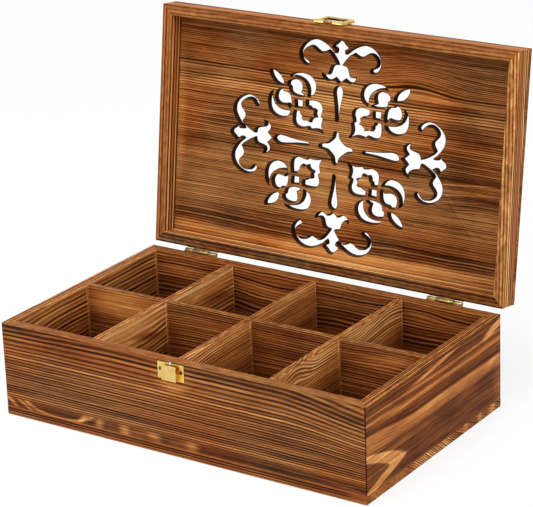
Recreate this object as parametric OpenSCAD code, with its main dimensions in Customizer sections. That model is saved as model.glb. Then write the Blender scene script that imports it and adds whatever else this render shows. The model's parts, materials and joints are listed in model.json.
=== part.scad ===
// Tea bag organizer box: a shallow pine box with eight compartments, a hinged lid with a
// pierced scrollwork panel, two butt hinges on the back and a hasp catch on the front.
//
// Frame: origin on the table under the middle of the box, +X to the right as seen from the
// front, +Y to the back, +Z up. The lid is drawn open and the hasp loop folded back over its
// leaf, which is how the box stands on show. Lid pieces are described closed, in the box's
// own frame, and lid_pose() swings them open about the hinge axis.

/* [Box] */
// Length of the box from side to side
box_length = 330; // [260:1:420]
// Depth of the box from front to back
box_depth = 200; // [180:1:260]
// Height of the open box without its lid
box_height = 77; // [50:1:120]
// Thickness of the four box walls
wall_t = 9.5; // [9:0.5:14]
// Thickness of the bottom board
bottom_t = 7; // [4:0.5:10]

/* [Dividers] */
// Thickness of every divider
divider_t = 6; // [4:0.5:8]
// How far the dividers stop below the rim of the box
divider_drop = 0; // [0:0.5:10]
// Width of a compartment next to a side wall, as a part of the pitch between dividers
divider_slack = 0.15; // [0.05:0.05:0.3]

/* [Lid] */
// Height of the lid, rails and panel together
lid_height = 19; // [18:0.5:36]
// Thickness of the four lid rails
rail_t = 9; // [9:0.5:14]
// Thickness of the pierced panel on top of the rails
panel_t = 4.5; // [3:0.5:6]
// Gap between the rim of the box and the closed lid
lid_gap = 0.2; // [0.1:0.05:0.4]
// Angle that the lid stands open
open_angle = 98; // [92:1:110]

/* [Scrollwork] */
// Width of the scrollwork over its outer scrolls
scroll_w = 203; // [150:1:210]
// Height of the scrollwork over its outer scrolls
scroll_h = 174; // [130:1:176]
// Sideways place of the scrollwork's centre from the middle of the lid
scroll_x = -1.4; // [-10:0.1:10]

/* [Hinges] */
// Length of each hinge along the back edge
hinge_len = 31; // [24:0.5:48]
// Distance between the middles of the two hinges
hinge_spacing = 232; // [160:1:240]
// Sideways place of the pair of hinges from the middle of the box
hinge_shift = -1.7; // [-10:0.1:10]
// Height of each hinge leaf from the hinge axis
hinge_leaf_h = 14; // [12:0.5:15]
// Thickness of the hinge leaves
hinge_leaf_t = 1; // [0.8:0.1:1.2]
// Distance of the hinge axis behind the back of the box
hinge_axis_out = 2.8; // [2.4:0.1:3.6]
// Radius of the hinge knuckles
knuckle_r = 1.9; // [1.7:0.1:2.2]
// Radius of the hinge pins
hinge_pin_r = 0.9; // [0.7:0.1:1.1]
// Part of the hinge's length that its middle knuckle takes
middle_knuckle = 0.5; // [0.35:0.05:0.6]

/* [Catch on the box] */
// Sideways place of the catch from the middle of the box
catch_x = -2.9; // [-40:0.1:40]
// Width of the catch plate
catch_w = 23.8; // [22:0.1:30]
// Height of the catch plate
catch_h = 13.4; // [13:0.1:16]
// Distance of the catch plate's top edge below the rim
catch_top = 0.9; // [0.5:0.1:2]
// How far the plate's two side screws sit above its middle
ear_screw_up = 0.9; // [0:0.1:2]
// Width of the tongue
tongue_w = 13.2; // [8:0.1:15]
// Height of the tongue
tongue_h = 12; // [8:0.5:12.5]
// How far the tongue's face stands out from the box
tongue_out = 3.9; // [3.4:0.1:4.5]
// Thickness of the tongue's strip
tongue_t = 0.8; // [0.6:0.1:1]

/* [Hasp on the lid] */
// How far the hasp sits to the left of the catch
hasp_shift = 3.1; // [0:0.1:3.1]
// Width of the hasp leaf
hasp_leaf_w = 26; // [24:0.5:32]
// Top edge of the hasp leaf above the lid's lower edge
hasp_leaf_top = 15.8; // [14:0.1:17]
// Thickness of the catch plate, the hasp leaf and the loop
plate_t = 0.9; // [0.7:0.1:1]
// Play of the tongue in the loop's window on either side
loop_play = 3.8; // [3.7:0.1:4.5]
// Width of the loop's side bars and of its free bar
loop_bar = 2.2; // [1.8:0.1:3]
// Width of the loop's bar next to its knuckles
loop_top_bar = 1.2; // [1:0.1:1.5]
// Height of the loop's axis above the lid's lower edge
hasp_axis_up = 1.8; // [1.5:0.1:2.5]
// Distance of the loop's axis from the lid's front
hasp_axis_out = 2.4; // [2.3:0.1:2.8]
// Radius of the hasp's knuckles
hasp_knuckle_r = 1.3; // [1.1:0.05:1.5]
// Radius of the hasp's pin
hasp_pin_r = 0.55; // [0.5:0.05:0.7]
// Width of the leaf's middle knuckle
hasp_middle_w = 8; // [6:0.5:10]
// Angle that the folded loop stands off the lid's front
loop_rest = 3; // [3:0.5:20]

/* [Screws and clearances] */
// Length of every screw under its head
screw_len = 7; // [4:0.5:7.5]
// Radius of the hinge screws' shanks
hinge_screw_r = 1; // [0.8:0.1:1.2]
// Radius of the hinge screws' heads
hinge_head_r = 2.3; // [1.8:0.1:2.6]
// Radius of the hasp's and the catch's screw shanks
small_screw_r = 0.7; // [0.5:0.1:0.8]
// Radius of the hasp's and the catch's screw heads
small_head_r = 1.5; // [1.2:0.1:1.6]
// Radius of the head of the catch's upper screw
top_head_r = 1.3; // [1.2:0.1:1.4]
// Radial clearance of a pin in its knuckles
pin_clear = 0.05; // [0.02:0.01:0.1]
// Radial clearance of a screw in its hole
screw_clear = 0.05; // [0.02:0.01:0.1]
// Side clearance between knuckles
knuckle_clear = 0.25; // [0.15:0.05:0.4]
// Clearance of the crossing dividers in each other's slots
slot_clear = 0.1; // [0.05:0.05:0.3]
// Clearance of the loop around the tongue
loop_clear = 0.6; // [0.4:0.1:0.8]

/* [Hidden] */
$fn = 64;

// Box and lid, worked out
half_l = box_length / 2;
half_d = box_depth / 2;
inner_l = box_length - 2 * wall_t;
inner_d = box_depth - 2 * wall_t;
lid_z = box_height + lid_gap;
rail_h = lid_height - panel_t;
divider_top = box_height - divider_drop;
divider_h = divider_top - bottom_t;
divider_pitch = (inner_l - 3 * divider_t) / 4 + divider_t + divider_slack * divider_t;

// Hinge axis, level with the middle of the gap under the lid
hinge_y = half_d + hinge_axis_out;
hinge_z = box_height + lid_gap / 2;
hinge_middle_w = hinge_len * middle_knuckle;
hinge_outer_w = (hinge_len - hinge_middle_w) / 2;
hinge_relief = knuckle_r + knuckle_clear;
hinge_screw_dx = hinge_len / 4;
hinge_screw_dz = (hinge_relief + hinge_leaf_h) / 2;
hinge_head_h = 1.3;

// Catch: the plate on the front wall and the tongue that the loop goes over
front_y = -half_d;
catch_z1 = box_height - catch_top;
catch_z0 = catch_z1 - catch_h;
tongue_z0 = catch_z0 + 0.2;
tongue_leg_h = 5;
ear_screw_dx = (catch_w + tongue_w) / 4;
ear_screw_z = (catch_z0 + catch_z1) / 2 + ear_screw_up;
ear_head_h = 0.25;
top_screw_z = catch_z1 - 0.5;
top_head_h = 0.8;

// Hasp: the leaf, and the loop as it hangs over the tongue
hasp_x = catch_x - hasp_shift;
hasp_y = front_y - hasp_axis_out;
hasp_z = lid_z + hasp_axis_up;
hasp_relief = hasp_knuckle_r + knuckle_clear;
window_z0 = tongue_z0 - loop_clear;
window_z1 = hasp_z - hasp_relief - loop_top_bar;
window_w = tongue_w + 2 * loop_play;
loop_w = window_w + 2 * loop_bar;
hasp_outer_w = (loop_w - hasp_middle_w) / 2;
hasp_head_h = 1;
hasp_screw_dx = 8;
hasp_screw_z = lid_z + (hasp_axis_up + hasp_relief + hasp_leaf_top) / 2;

SIDES = ["left", "right"];
CROSS = ["left", "middle", "right"];
HINGE_SCREWS = [for (s = SIDES, l = ["box", "lid"], n = ["inner", "outer"]) [s, l, n]];
function hinge_screw_name(k) = str("hinge_", k[0], "_", k[1], "_screw_", k[2]);
function side_sign(side) = side == "left" ? -1 : 1;
function hinge_x(side) = hinge_shift + side_sign(side) * hinge_spacing / 2;
function hinge_screw_x(k) =
    hinge_x(k[0]) + side_sign(k[0]) * (k[2] == "outer" ? 1 : -1) * hinge_screw_dx;
function hinge_screw_z(k) = hinge_z + (k[1] == "lid" ? 1 : -1) * hinge_screw_dz;

// ---------------------------------------------------------------- poses

// Swings what is drawn closed to the lid's open place
module lid_pose() {
    translate([0, hinge_y, hinge_z]) rotate([-open_angle, 0, 0]) translate([0, -hinge_y, -hinge_z])
        children();
}

// Swings the loop, drawn hanging over the tongue, up and back over its leaf
module loop_pose() {
    translate([0, hasp_y, hasp_z]) rotate([-(180 - loop_rest), 0, 0]) translate([0, -hasp_y, -hasp_z])
        children();
}

// ---------------------------------------------------------------- shared shapes

// One mitred board of a rectangular frame: it lies along X with its outer face at y = -depth/2
module mitred_board(len, depth, t, z0, h) {
    translate([0, 0, z0]) linear_extrude(h)
        polygon([
            [-len / 2, -depth / 2],
            [len / 2, -depth / 2],
            [len / 2 - t, -depth / 2 + t],
            [-len / 2 + t, -depth / 2 + t],
        ]);
}

// A round bar along X, centred on x
module bar_x(x, y, z, r, len) {
    translate([x - len / 2, y, z]) rotate([0, 90, 0]) cylinder(h = len, r = r);
}

// A screw that enters the front (dir = 1) or the back (dir = -1) with its head on y
module screw(x, y, z, dir, shank_r, head_r, head_h) {
    translate([x, y, z]) rotate([-90 * dir, 0, 0]) {
        translate([0, 0, -head_h / 2]) cylinder(h = screw_len + head_h / 2, r = shank_r);
        translate([0, 0, -head_h]) difference() {
            cylinder(h = head_h, r = head_r);
            translate([-head_r - 1, -0.2, -1]) cube([2 * head_r + 2, 0.4, 1 + 0.4 * head_h]);
        }
    }
}

// The hole for such a screw, from y inwards
module screw_hole(x, y, z, dir, shank_r, depth) {
    translate([x, y, z]) rotate([-90 * dir, 0, 0]) translate([0, 0, -0.01])
        cylinder(h = depth + 0.01, r = shank_r + screw_clear);
}

// ---------------------------------------------------------------- box

module front_wall() {
    color("sienna") difference() {
        mitred_board(box_length, box_depth, wall_t, bottom_t, box_height - bottom_t);
        for (s = [-1, 1])
            screw_hole(catch_x + s * ear_screw_dx, front_y, ear_screw_z, 1, small_screw_r,
                screw_len - plate_t + 0.2);
        screw_hole(catch_x, front_y, top_screw_z, 1, small_screw_r, screw_len - plate_t + 0.2);
    }
}

module back_wall() {
    color("saddlebrown") difference() {
        rotate([0, 0, 180])
            mitred_board(box_length, box_depth, wall_t, bottom_t, box_height - bottom_t);
        for (k = HINGE_SCREWS)
            if (k[1] == "box")
                screw_hole(hinge_screw_x(k), half_d, hinge_screw_z(k), -1, hinge_screw_r,
                    screw_len - hinge_leaf_t + 0.2);
    }
}

module side_wall(side) {
    color("sienna") rotate([0, 0, side_sign(side) * 90])
        mitred_board(box_depth, box_length, wall_t, bottom_t, box_height - bottom_t);
}

module bottom_panel() {
    color("peru") translate([-half_l, -half_d, 0]) cube([box_length, box_depth, bottom_t]);
}

// The long divider runs from side to side and is slotted from above to half its height
module long_divider() {
    color("peru") difference() {
        translate([-inner_l / 2, -divider_t / 2, bottom_t]) cube([inner_l, divider_t, divider_h]);
        for (i = [-1:1])
            translate([i * divider_pitch - divider_t / 2 - slot_clear, -divider_t,
                    bottom_t + divider_h / 2])
                cube([divider_t + 2 * slot_clear, 2 * divider_t, divider_h]);
    }
}

// A cross divider runs from front to back and is slotted from below to half its height
module cross_divider(i) {
    color("burlywood") difference() {
        translate([i * divider_pitch - divider_t / 2, -inner_d / 2, bottom_t])
            cube([divider_t, inner_d, divider_h]);
        translate([i * divider_pitch - divider_t, -divider_t / 2 - slot_clear,
                bottom_t - divider_h / 2])
            cube([2 * divider_t, divider_t + 2 * slot_clear, divider_h]);
    }
}

// ---------------------------------------------------------------- lid

module lid_front_rail() {
    color("peru") lid_pose() difference() {
        mitred_board(box_length, box_depth, rail_t, lid_z, rail_h);
        for (s = [-1, 1])
            screw_hole(hasp_x + s * hasp_screw_dx, front_y, hasp_screw_z, 1, small_screw_r,
                screw_len - plate_t + 0.2);
    }
}

module lid_back_rail() {
    color("saddlebrown") lid_pose() difference() {
        rotate([0, 0, 180]) mitred_board(box_length, box_depth, rail_t, lid_z, rail_h);
        for (k = HINGE_SCREWS)
            if (k[1] == "lid")
                screw_hole(hinge_screw_x(k), half_d, hinge_screw_z(k), -1, hinge_screw_r,
                    screw_len - hinge_leaf_t + 0.2);
    }
}

module lid_side_rail(side) {
    color("burlywood") lid_pose() rotate([0, 0, side_sign(side) * 90])
        mitred_board(box_depth, box_length, rail_t, lid_z, rail_h);
}

module lid_panel() {
    color("sienna") lid_pose() translate([0, 0, lid_z + rail_h]) linear_extrude(panel_t)
        difference() {
            square([box_length, box_depth], center = true);
            translate([scroll_x, 0]) scrollwork();
        }
}

// ---------------------------------------------------------------- scrollwork

// The outlines below are drawn on a motif that is 174 units across both ways, as stretches of
// smooth curve that meet at points. The figure has four arms and, between them, four flowers.
motif = 174;

// Points along a smooth curve through the points p, without the last one
function curve(p, n = 2) = [
    for (i = [0:len(p) - 2], k = [0:n - 1])
        let (
            a = p[max(i - 1, 0)],
            b = p[i],
            c = p[i + 1],
            d = p[min(i + 2, len(p) - 1)],
            t = k / n
        )
        0.5 * (2 * b + (c - a) * t + (2 * a - 5 * b + 4 * c - d) * t * t
            + (3 * b - a - 3 * c + d) * t * t * t)
];
function joined(curves) = [for (c = curves, p = curve(c)) p];
function mirror_x(p) = [for (q = p) [-q[0], q[1]]];
function swap(p) = [for (q = p) [q[1], q[0]]];
function reversed(p) = [for (i = [len(p) - 1:-1:0]) p[i]];
// A closed outline from half of it, mirrored in the Y axis or in the diagonal
function both_sides(p) = concat(p, reversed(mirror_x([for (q = p) if (abs(q[0]) > 0.001) q])));
function about_diagonal(p) = concat(p, reversed(swap([for (q = p) if (abs(q[0] - q[1]) > 0.001) q])));

// Each list of curves is one side of an outline
STAR = [[[0, 13.6], [1.5, 12.9], [2.1, 11.2], [2.4, 9.2], [3.1, 7.4], [5.1, 5.1]]];
SPEAR = [
    [[0, 21.4], [1.2, 22.4], [1.4, 27], [1.9, 33], [2.7, 38], [3.5, 43], [3.6, 46.4], [2.3, 49.4],
        [0, 50.7]],
    [[0, 50.7], [0, 50.7]],
];
// A tulip, a scroll that curls out of its neck, and the bud above it
TULIP = [
    [[0, 52.4], [1.2, 53.4], [2.6, 54.7], [4, 56.2]],
    [[4, 56.2], [6, 54.6], [8.3, 53.6], [10.6, 54.1], [12.4, 55.8], [13.4, 57.6], [13.8, 59.4]],
    [[13.8, 59.4], [12.3, 58.6], [10.4, 58.2], [8.8, 58.8], [7.9, 60.6], [7.3, 63], [6.5, 65.3],
        [4.6, 66.8], [1.9, 67.1]],
    [[1.9, 67.1], [3.9, 70.5], [6, 73.6], [8, 76], [10.3, 77.6]],
    [[10.3, 77.6], [12.3, 76.3], [14.5, 75.3], [16.7, 75.3], [18.8, 76.4], [20.8, 78.1],
        [23, 79.1], [25.3, 78.9], [27.6, 77.3], [29.3, 74.9], [29.8, 72.2], [29.1, 69.9],
        [27.4, 68.3], [25.6, 67.4], [24.4, 66.2]],
    [[24.4, 66.2], [24.6, 64.8], [26, 63.9], [27.8, 64.2], [29.7, 65.5], [31.4, 67.8],
        [32.4, 70.5], [32.6, 73.2], [31.9, 76.2], [30.1, 79.5], [27.2, 82.6], [23.4, 84.7],
        [19.3, 85.3], [15.5, 84.6], [12, 82.9], [8.7, 80.7], [6.4, 78.6], [4.3, 76.2]],
    [[4.3, 76.2], [3.6, 77.9], [3.8, 79.7], [5.9, 80.7]],
    [[5.9, 80.7], [6.1, 82.1], [4.7, 83.2], [3.4, 84.6], [1.9, 86.4], [0, 87]],
];
LEAF = [[[44.3, 44.3], [47, 44.4], [50, 45.5], [52.7, 47.7], [54.9, 50.8], [56, 53.8], [56, 56]]];
CRESCENT = [
    [[24.3, 37.8], [21.5, 39.2], [19.4, 41.2], [18.3, 43.8], [18, 46.7], [18.5, 49.5], [19.8, 52.1],
        [21.9, 54.4], [25, 55.9], [29.2, 56.5], [33.4, 56.2], [36.9, 55.1], [39.8, 52.4]],
    [[39.8, 52.4], [36.9, 53.1], [33.8, 52.9], [30.7, 52], [28.2, 50.5], [26.3, 48.4], [25, 45.7],
        [24.3, 42.6], [24.4, 40], [24.3, 37.8]],
];
DROP = [
    [[26.3, 38.3], [29.2, 37.3], [32.6, 37.4], [36, 38], [38.3, 39.4], [39.4, 41.4], [39.5, 43.6]],
    [[39.5, 43.6], [41.2, 45.2]],
    [[41.2, 45.2], [41, 47.8], [39.3, 49.7], [36.9, 50.5], [34.1, 50.8], [31.6, 50.1],
        [29.7, 48.5], [29, 46], [29.2, 43.2], [30, 40.6]],
    [[30, 40.6], [28.3, 39.6], [26.3, 38.3]],
];
GEM = [[[28.4, 28.4], [28.3, 34.3]], [[28.3, 34.3], [34.7, 34.7]]];
// The heart: its outer edge from the tip to the arm's end, then its lobed inner edge back
HEART = [
    [[10.2, 10.2], [11.4, 12.8], [12.3, 15.3], [12.4, 17.8], [11.5, 21.9]],
    [[11.5, 21.9], [13.3, 23.7]],
    [[13.3, 23.7], [12.7, 26.2], [12, 28.7], [12.2, 31.2], [13.2, 33.5], [15.3, 35.1], [18.4, 35.6],
        [22, 35.5], [25.4, 35]],
    [[25.4, 35], [25.6, 32.6], [25.5, 30.2]],
    [[25.5, 30.2], [23.5, 29.9], [21.9, 28.2]],
    [[21.9, 28.2], [20.2, 28.4], [18.2, 27.4]],
    [[18.2, 27.4], [18.9, 24.6]],
    [[18.9, 24.6], [17.5, 22.1]],
    [[17.5, 22.1], [19.3, 21.9], [20.8, 20.8]],
];

module outline(points) {
    sx = scroll_w / motif;
    sy = scroll_h / motif;
    polygon([for (p = points) [p[0] * sx, p[1] * sy]]);
}

// Draws an outline in all four quarters of the figure
module in_four(points) {
    for (fx = [-1, 1], fy = [-1, 1])
        outline([for (p = points) [p[0] * fx, p[1] * fy]]);
}

// Draws an outline, even about the Y axis, at the end of each of the four arms
module on_arms(points) {
    for (f = [-1, 1]) {
        outline([for (p = points) [p[0], p[1] * f]]);
        outline([for (p = points) [p[1] * f, p[0]]]);
    }
}

module scrollwork() {
    star = about_diagonal(joined(STAR));
    outline(concat(
        star,
        [for (p = reversed(star)) if (p[1] > 0.001) [p[0], -p[1]]],
        [for (p = star) if (p[0] > 0.001) [-p[0], -p[1]]],
        [for (p = reversed(star)) if (p[0] > 0.001 && p[1] > 0.001) [-p[0], p[1]]]
    ));
    on_arms(both_sides(joined(SPEAR)));
    on_arms(both_sides(concat(joined(TULIP), [[0, 87]])));
    in_four(about_diagonal(concat(joined(LEAF), [[56, 56]])));
    in_four(about_diagonal(concat(joined(GEM), [[34.7, 34.7]])));
    in_four(about_diagonal(concat(joined(HEART), [[20.8, 20.8]])));
    for (points = [joined(CRESCENT), joined(DROP)]) {
        in_four(points);
        in_four(swap(points));
    }
}

// ---------------------------------------------------------------- hinges

// One leaf with its knuckles, drawn closed. up is -1 for the box's leaf and 1 for the lid's;
// the knuckles at the places in own belong to this leaf.
module hinge_leaf(side, up, own) {
    x0 = hinge_x(side) - hinge_len / 2;
    spans = [
        [0, hinge_outer_w],
        [hinge_outer_w, hinge_middle_w],
        [hinge_outer_w + hinge_middle_w, hinge_outer_w],
    ];
    z0 = up > 0 ? hinge_z + hinge_relief : hinge_z - hinge_leaf_h;
    difference() {
        union() {
            translate([x0, half_d, z0]) cube([hinge_len, hinge_leaf_t, hinge_leaf_h - hinge_relief]);
            for (i = own) {
                // A knuckle inside the hinge keeps its side clearance from its neighbours
                a = x0 + spans[i][0] + (i > 0 ? knuckle_clear / 2 : 0);
                w = spans[i][1] - (i == 1 ? knuckle_clear : knuckle_clear / 2);
                bar_x(a + w / 2, hinge_y, hinge_z, knuckle_r, w);
                translate([a, half_d, up > 0 ? hinge_z : hinge_z - hinge_relief - 0.1])
                    cube([w, hinge_leaf_t, hinge_relief + 0.1]);
                translate([a, half_d + 0.01, up > 0 ? hinge_z : hinge_z - knuckle_r])
                    cube([w, hinge_axis_out - 0.01, knuckle_r]);
            }
        }
        bar_x(hinge_x(side), hinge_y, hinge_z, hinge_pin_r + pin_clear, hinge_len + 1);
        for (n = [-1, 1])
            screw_hole(hinge_x(side) + n * hinge_screw_dx, half_d + hinge_leaf_t,
                hinge_z + up * hinge_screw_dz, -1, hinge_screw_r, hinge_leaf_t + 0.1);
    }
}

module hinge_box_leaf(side) {
    color("gold") hinge_leaf(side, -1, [0, 2]);
}

module hinge_lid_leaf(side) {
    color("gold") lid_pose() hinge_leaf(side, 1, [1]);
}

module hinge_pin(side) {
    color("darkgoldenrod") bar_x(hinge_x(side), hinge_y, hinge_z, hinge_pin_r, hinge_len);
}

module hinge_screw(k) {
    color("silver")
        if (k[1] == "lid") lid_pose() hinge_screw_closed(k);
        else hinge_screw_closed(k);
}

module hinge_screw_closed(k) {
    screw(hinge_screw_x(k), half_d + hinge_leaf_t, hinge_screw_z(k), -1, hinge_screw_r,
        hinge_head_r, hinge_head_h);
}

// ---------------------------------------------------------------- catch

// The upper screw sits in an open slot in the plate's top edge
module catch_plate() {
    slot_r = small_screw_r + screw_clear;
    color("gold") difference() {
        translate([catch_x - catch_w / 2, front_y - plate_t, catch_z0])
            cube([catch_w, plate_t, catch_h]);
        for (s = [-1, 1])
            screw_hole(catch_x + s * ear_screw_dx, front_y - plate_t, ear_screw_z, 1,
                small_screw_r, plate_t + 0.1);
        screw_hole(catch_x, front_y - plate_t, top_screw_z, 1, small_screw_r, plate_t + 0.1);
        translate([catch_x - slot_r, front_y - plate_t - 0.1, top_screw_z])
            cube([2 * slot_r, plate_t + 0.2, catch_h]);
    }
}

// A strip bent to a J: its leg lies on the plate and its face stands out from the box
module catch_tongue() {
    out = tongue_out - plate_t;
    color("khaki") translate([catch_x - tongue_w / 2, front_y - plate_t, tongue_z0])
        rotate([90, 0, 90]) linear_extrude(tongue_w)
            polygon([
                [0, 0],
                [0, tongue_leg_h],
                [-tongue_t, tongue_leg_h],
                [-tongue_t, tongue_t],
                [-out + tongue_t, tongue_t],
                [-out + tongue_t, tongue_h],
                [-out, tongue_h],
                [-out, 0],
            ]);
}

module catch_ear_screw(s) {
    color("dimgray")
        screw(catch_x + s * ear_screw_dx, front_y - plate_t, ear_screw_z, 1, small_screw_r,
            small_head_r, ear_head_h);
}

module catch_screw_top() {
    color("silver")
        screw(catch_x, front_y - plate_t, top_screw_z, 1, small_screw_r, top_head_r,
            top_head_h);
}

// ---------------------------------------------------------------- hasp

module hasp_leaf() {
    leaf_z0 = hasp_z + hasp_relief;
    middle_w = hasp_middle_w - knuckle_clear;
    color("gold") lid_pose() difference() {
        union() {
            translate([hasp_x - hasp_leaf_w / 2, front_y - plate_t, leaf_z0])
                cube([hasp_leaf_w, plate_t, lid_z + hasp_leaf_top - leaf_z0]);
            translate([hasp_x - middle_w / 2, front_y - plate_t, hasp_z])
                cube([middle_w, plate_t, hasp_relief + 0.1]);
            translate([hasp_x - middle_w / 2, hasp_y, hasp_z])
                cube([middle_w, hasp_axis_out, hasp_knuckle_r]);
            bar_x(hasp_x, hasp_y, hasp_z, hasp_knuckle_r, middle_w);
        }
        bar_x(hasp_x, hasp_y, hasp_z, hasp_pin_r + pin_clear, loop_w);
        for (s = [-1, 1])
            screw_hole(hasp_x + s * hasp_screw_dx, front_y - plate_t, hasp_screw_z, 1,
                small_screw_r, plate_t + 0.1);
    }
}

module hasp_pin() {
    color("darkgoldenrod") lid_pose() bar_x(hasp_x, hasp_y, hasp_z, hasp_pin_r, loop_w);
}

// A flat frame around a window, with a knuckle at each end of its upper bar
module hasp_loop() {
    frame_z0 = window_z0 - loop_bar;
    frame_z1 = hasp_z - hasp_relief;
    knuckle_w = hasp_outer_w - knuckle_clear / 2;
    color("khaki") lid_pose() loop_pose() difference() {
        union() {
            difference() {
                translate([hasp_x - loop_w / 2, hasp_y - plate_t / 2, frame_z0])
                    cube([loop_w, plate_t, frame_z1 - frame_z0]);
                translate([hasp_x - window_w / 2, hasp_y - plate_t, window_z0])
                    cube([window_w, 2 * plate_t, window_z1 - window_z0]);
            }
            for (s = [-1, 1]) {
                x = hasp_x + s * (loop_w - knuckle_w) / 2;
                bar_x(x, hasp_y, hasp_z, hasp_knuckle_r, knuckle_w);
                translate([x - knuckle_w / 2, hasp_y - plate_t / 2, frame_z1 - 0.1])
                    cube([knuckle_w, plate_t, hasp_relief + 0.1]);
            }
        }
        bar_x(hasp_x, hasp_y, hasp_z, hasp_pin_r + pin_clear, loop_w + 1);
    }
}

module hasp_screw(s) {
    color("silver") lid_pose()
        screw(hasp_x + s * hasp_screw_dx, front_y - plate_t, hasp_screw_z, 1, small_screw_r,
            small_head_r, hasp_head_h);
}

// ---------------------------------------------------------------- what is drawn

front_wall();
back_wall();
side_wall("left");  // left_wall
side_wall("right");  // right_wall
bottom_panel();
long_divider();
for (i = [0:2])
    cross_divider(i - 1);
lid_front_rail();
lid_back_rail();
lid_side_rail("left");  // lid_left_rail
lid_side_rail("right");  // lid_right_rail
lid_panel();
for (s = SIDES) {
    hinge_box_leaf(s);
    hinge_lid_leaf(s);
    hinge_pin(s);
}
for (k = HINGE_SCREWS)
    hinge_screw(k);
catch_plate();
catch_tongue();
catch_ear_screw(-1);  // catch_screw_left
catch_ear_screw(1);  // catch_screw_right
catch_screw_top();
hasp_leaf();
hasp_pin();
hasp_loop();
hasp_screw(-1);  // hasp_screw_left
hasp_screw(1);  // hasp_screw_right
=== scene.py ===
"""Looks of a scorched pine tea box with a scrollwork lid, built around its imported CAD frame.

Every board is rebuilt with rounded edges and its own torched grain, and the brass and steel
fittings are softened and shaped. Lengths are millimetres unless a name or note says otherwise;
finished meshes are in metres in the CAD's own frame.
"""

from __future__ import annotations

import json
import logging
import math
from collections.abc import Callable, Iterable
from dataclasses import dataclass, field
from enum import Enum

import bpy
from mathutils import Matrix, Vector
from mathutils.bvhtree import BVHTree

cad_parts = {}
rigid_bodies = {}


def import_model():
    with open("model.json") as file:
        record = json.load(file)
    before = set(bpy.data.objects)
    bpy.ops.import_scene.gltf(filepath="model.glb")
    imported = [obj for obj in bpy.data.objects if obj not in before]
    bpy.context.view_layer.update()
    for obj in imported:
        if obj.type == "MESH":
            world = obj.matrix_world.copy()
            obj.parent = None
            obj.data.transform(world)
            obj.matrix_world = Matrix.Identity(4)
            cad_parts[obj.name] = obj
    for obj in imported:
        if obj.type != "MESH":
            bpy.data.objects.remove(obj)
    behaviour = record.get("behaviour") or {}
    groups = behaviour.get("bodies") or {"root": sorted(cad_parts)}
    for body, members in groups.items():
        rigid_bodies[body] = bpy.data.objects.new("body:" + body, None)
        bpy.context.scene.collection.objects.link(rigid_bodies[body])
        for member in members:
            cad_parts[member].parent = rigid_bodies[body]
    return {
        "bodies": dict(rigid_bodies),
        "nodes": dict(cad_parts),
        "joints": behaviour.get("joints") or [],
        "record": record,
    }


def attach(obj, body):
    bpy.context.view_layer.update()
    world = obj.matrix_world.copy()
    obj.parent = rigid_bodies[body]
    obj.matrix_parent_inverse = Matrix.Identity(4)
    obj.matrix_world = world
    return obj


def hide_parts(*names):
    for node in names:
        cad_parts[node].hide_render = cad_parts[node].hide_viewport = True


log = logging.getLogger("tea_box")

MM = 0.001


def srgb(red: int, green: int, blue: int) -> tuple[float, float, float, float]:
    """Linear colour of a display colour.

    Args:
        red: Red from 0 to 255.
        green: Green from 0 to 255.
        blue: Blue from 0 to 255.

    Returns:
        Linear red, green, blue and an alpha of 1.
    """
    linear = [
        c / 12.92 if c <= 0.04045 else ((c + 0.055) / 1.055) ** 2.4
        for c in (red / 255, green / 255, blue / 255)
    ]
    return (*linear, 1.0)


# ------------------------------------------------------------------ shader graphs


class Value:
    """A number that varies over a surface, with arithmetic that adds Math nodes."""

    def __init__(self, graph: Graph, socket: bpy.types.NodeSocket) -> None:
        """Wraps an output socket of the graph."""
        self.graph = graph
        self.socket = socket

    def __add__(self, other: Value | float) -> Value:
        """Sum."""
        return self.graph.math("ADD", self, other)

    __radd__ = __add__

    def __sub__(self, other: Value | float) -> Value:
        """Difference."""
        return self.graph.math("SUBTRACT", self, other)

    def __rsub__(self, other: Value | float) -> Value:
        """Difference from a number."""
        return self.graph.math("SUBTRACT", other, self)

    def __mul__(self, other: Value | float) -> Value:
        """Product."""
        return self.graph.math("MULTIPLY", self, other)

    __rmul__ = __mul__

    def floor(self) -> Value:
        """Whole part."""
        return self.graph.math("FLOOR", self)

    def absolute(self) -> Value:
        """Size without its sign."""
        return self.graph.math("ABSOLUTE", self)


Socket = bpy.types.NodeSocket
Input = Value | Socket | float | tuple
Level = float | tuple
SEED_STEP = (7.31, 3.77, 1.93)


@dataclass(frozen=True)
class Lumps:
    """The measures of a noise."""

    size: tuple[float, float, float]  # the size of its lumps on each axis
    shift: float = 0.0  # added to a seed, so that the noises of one finish differ
    detail: float = 2.0  # number of finer layers
    roughness: float = 0.55  # strength of the finer layers


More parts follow.
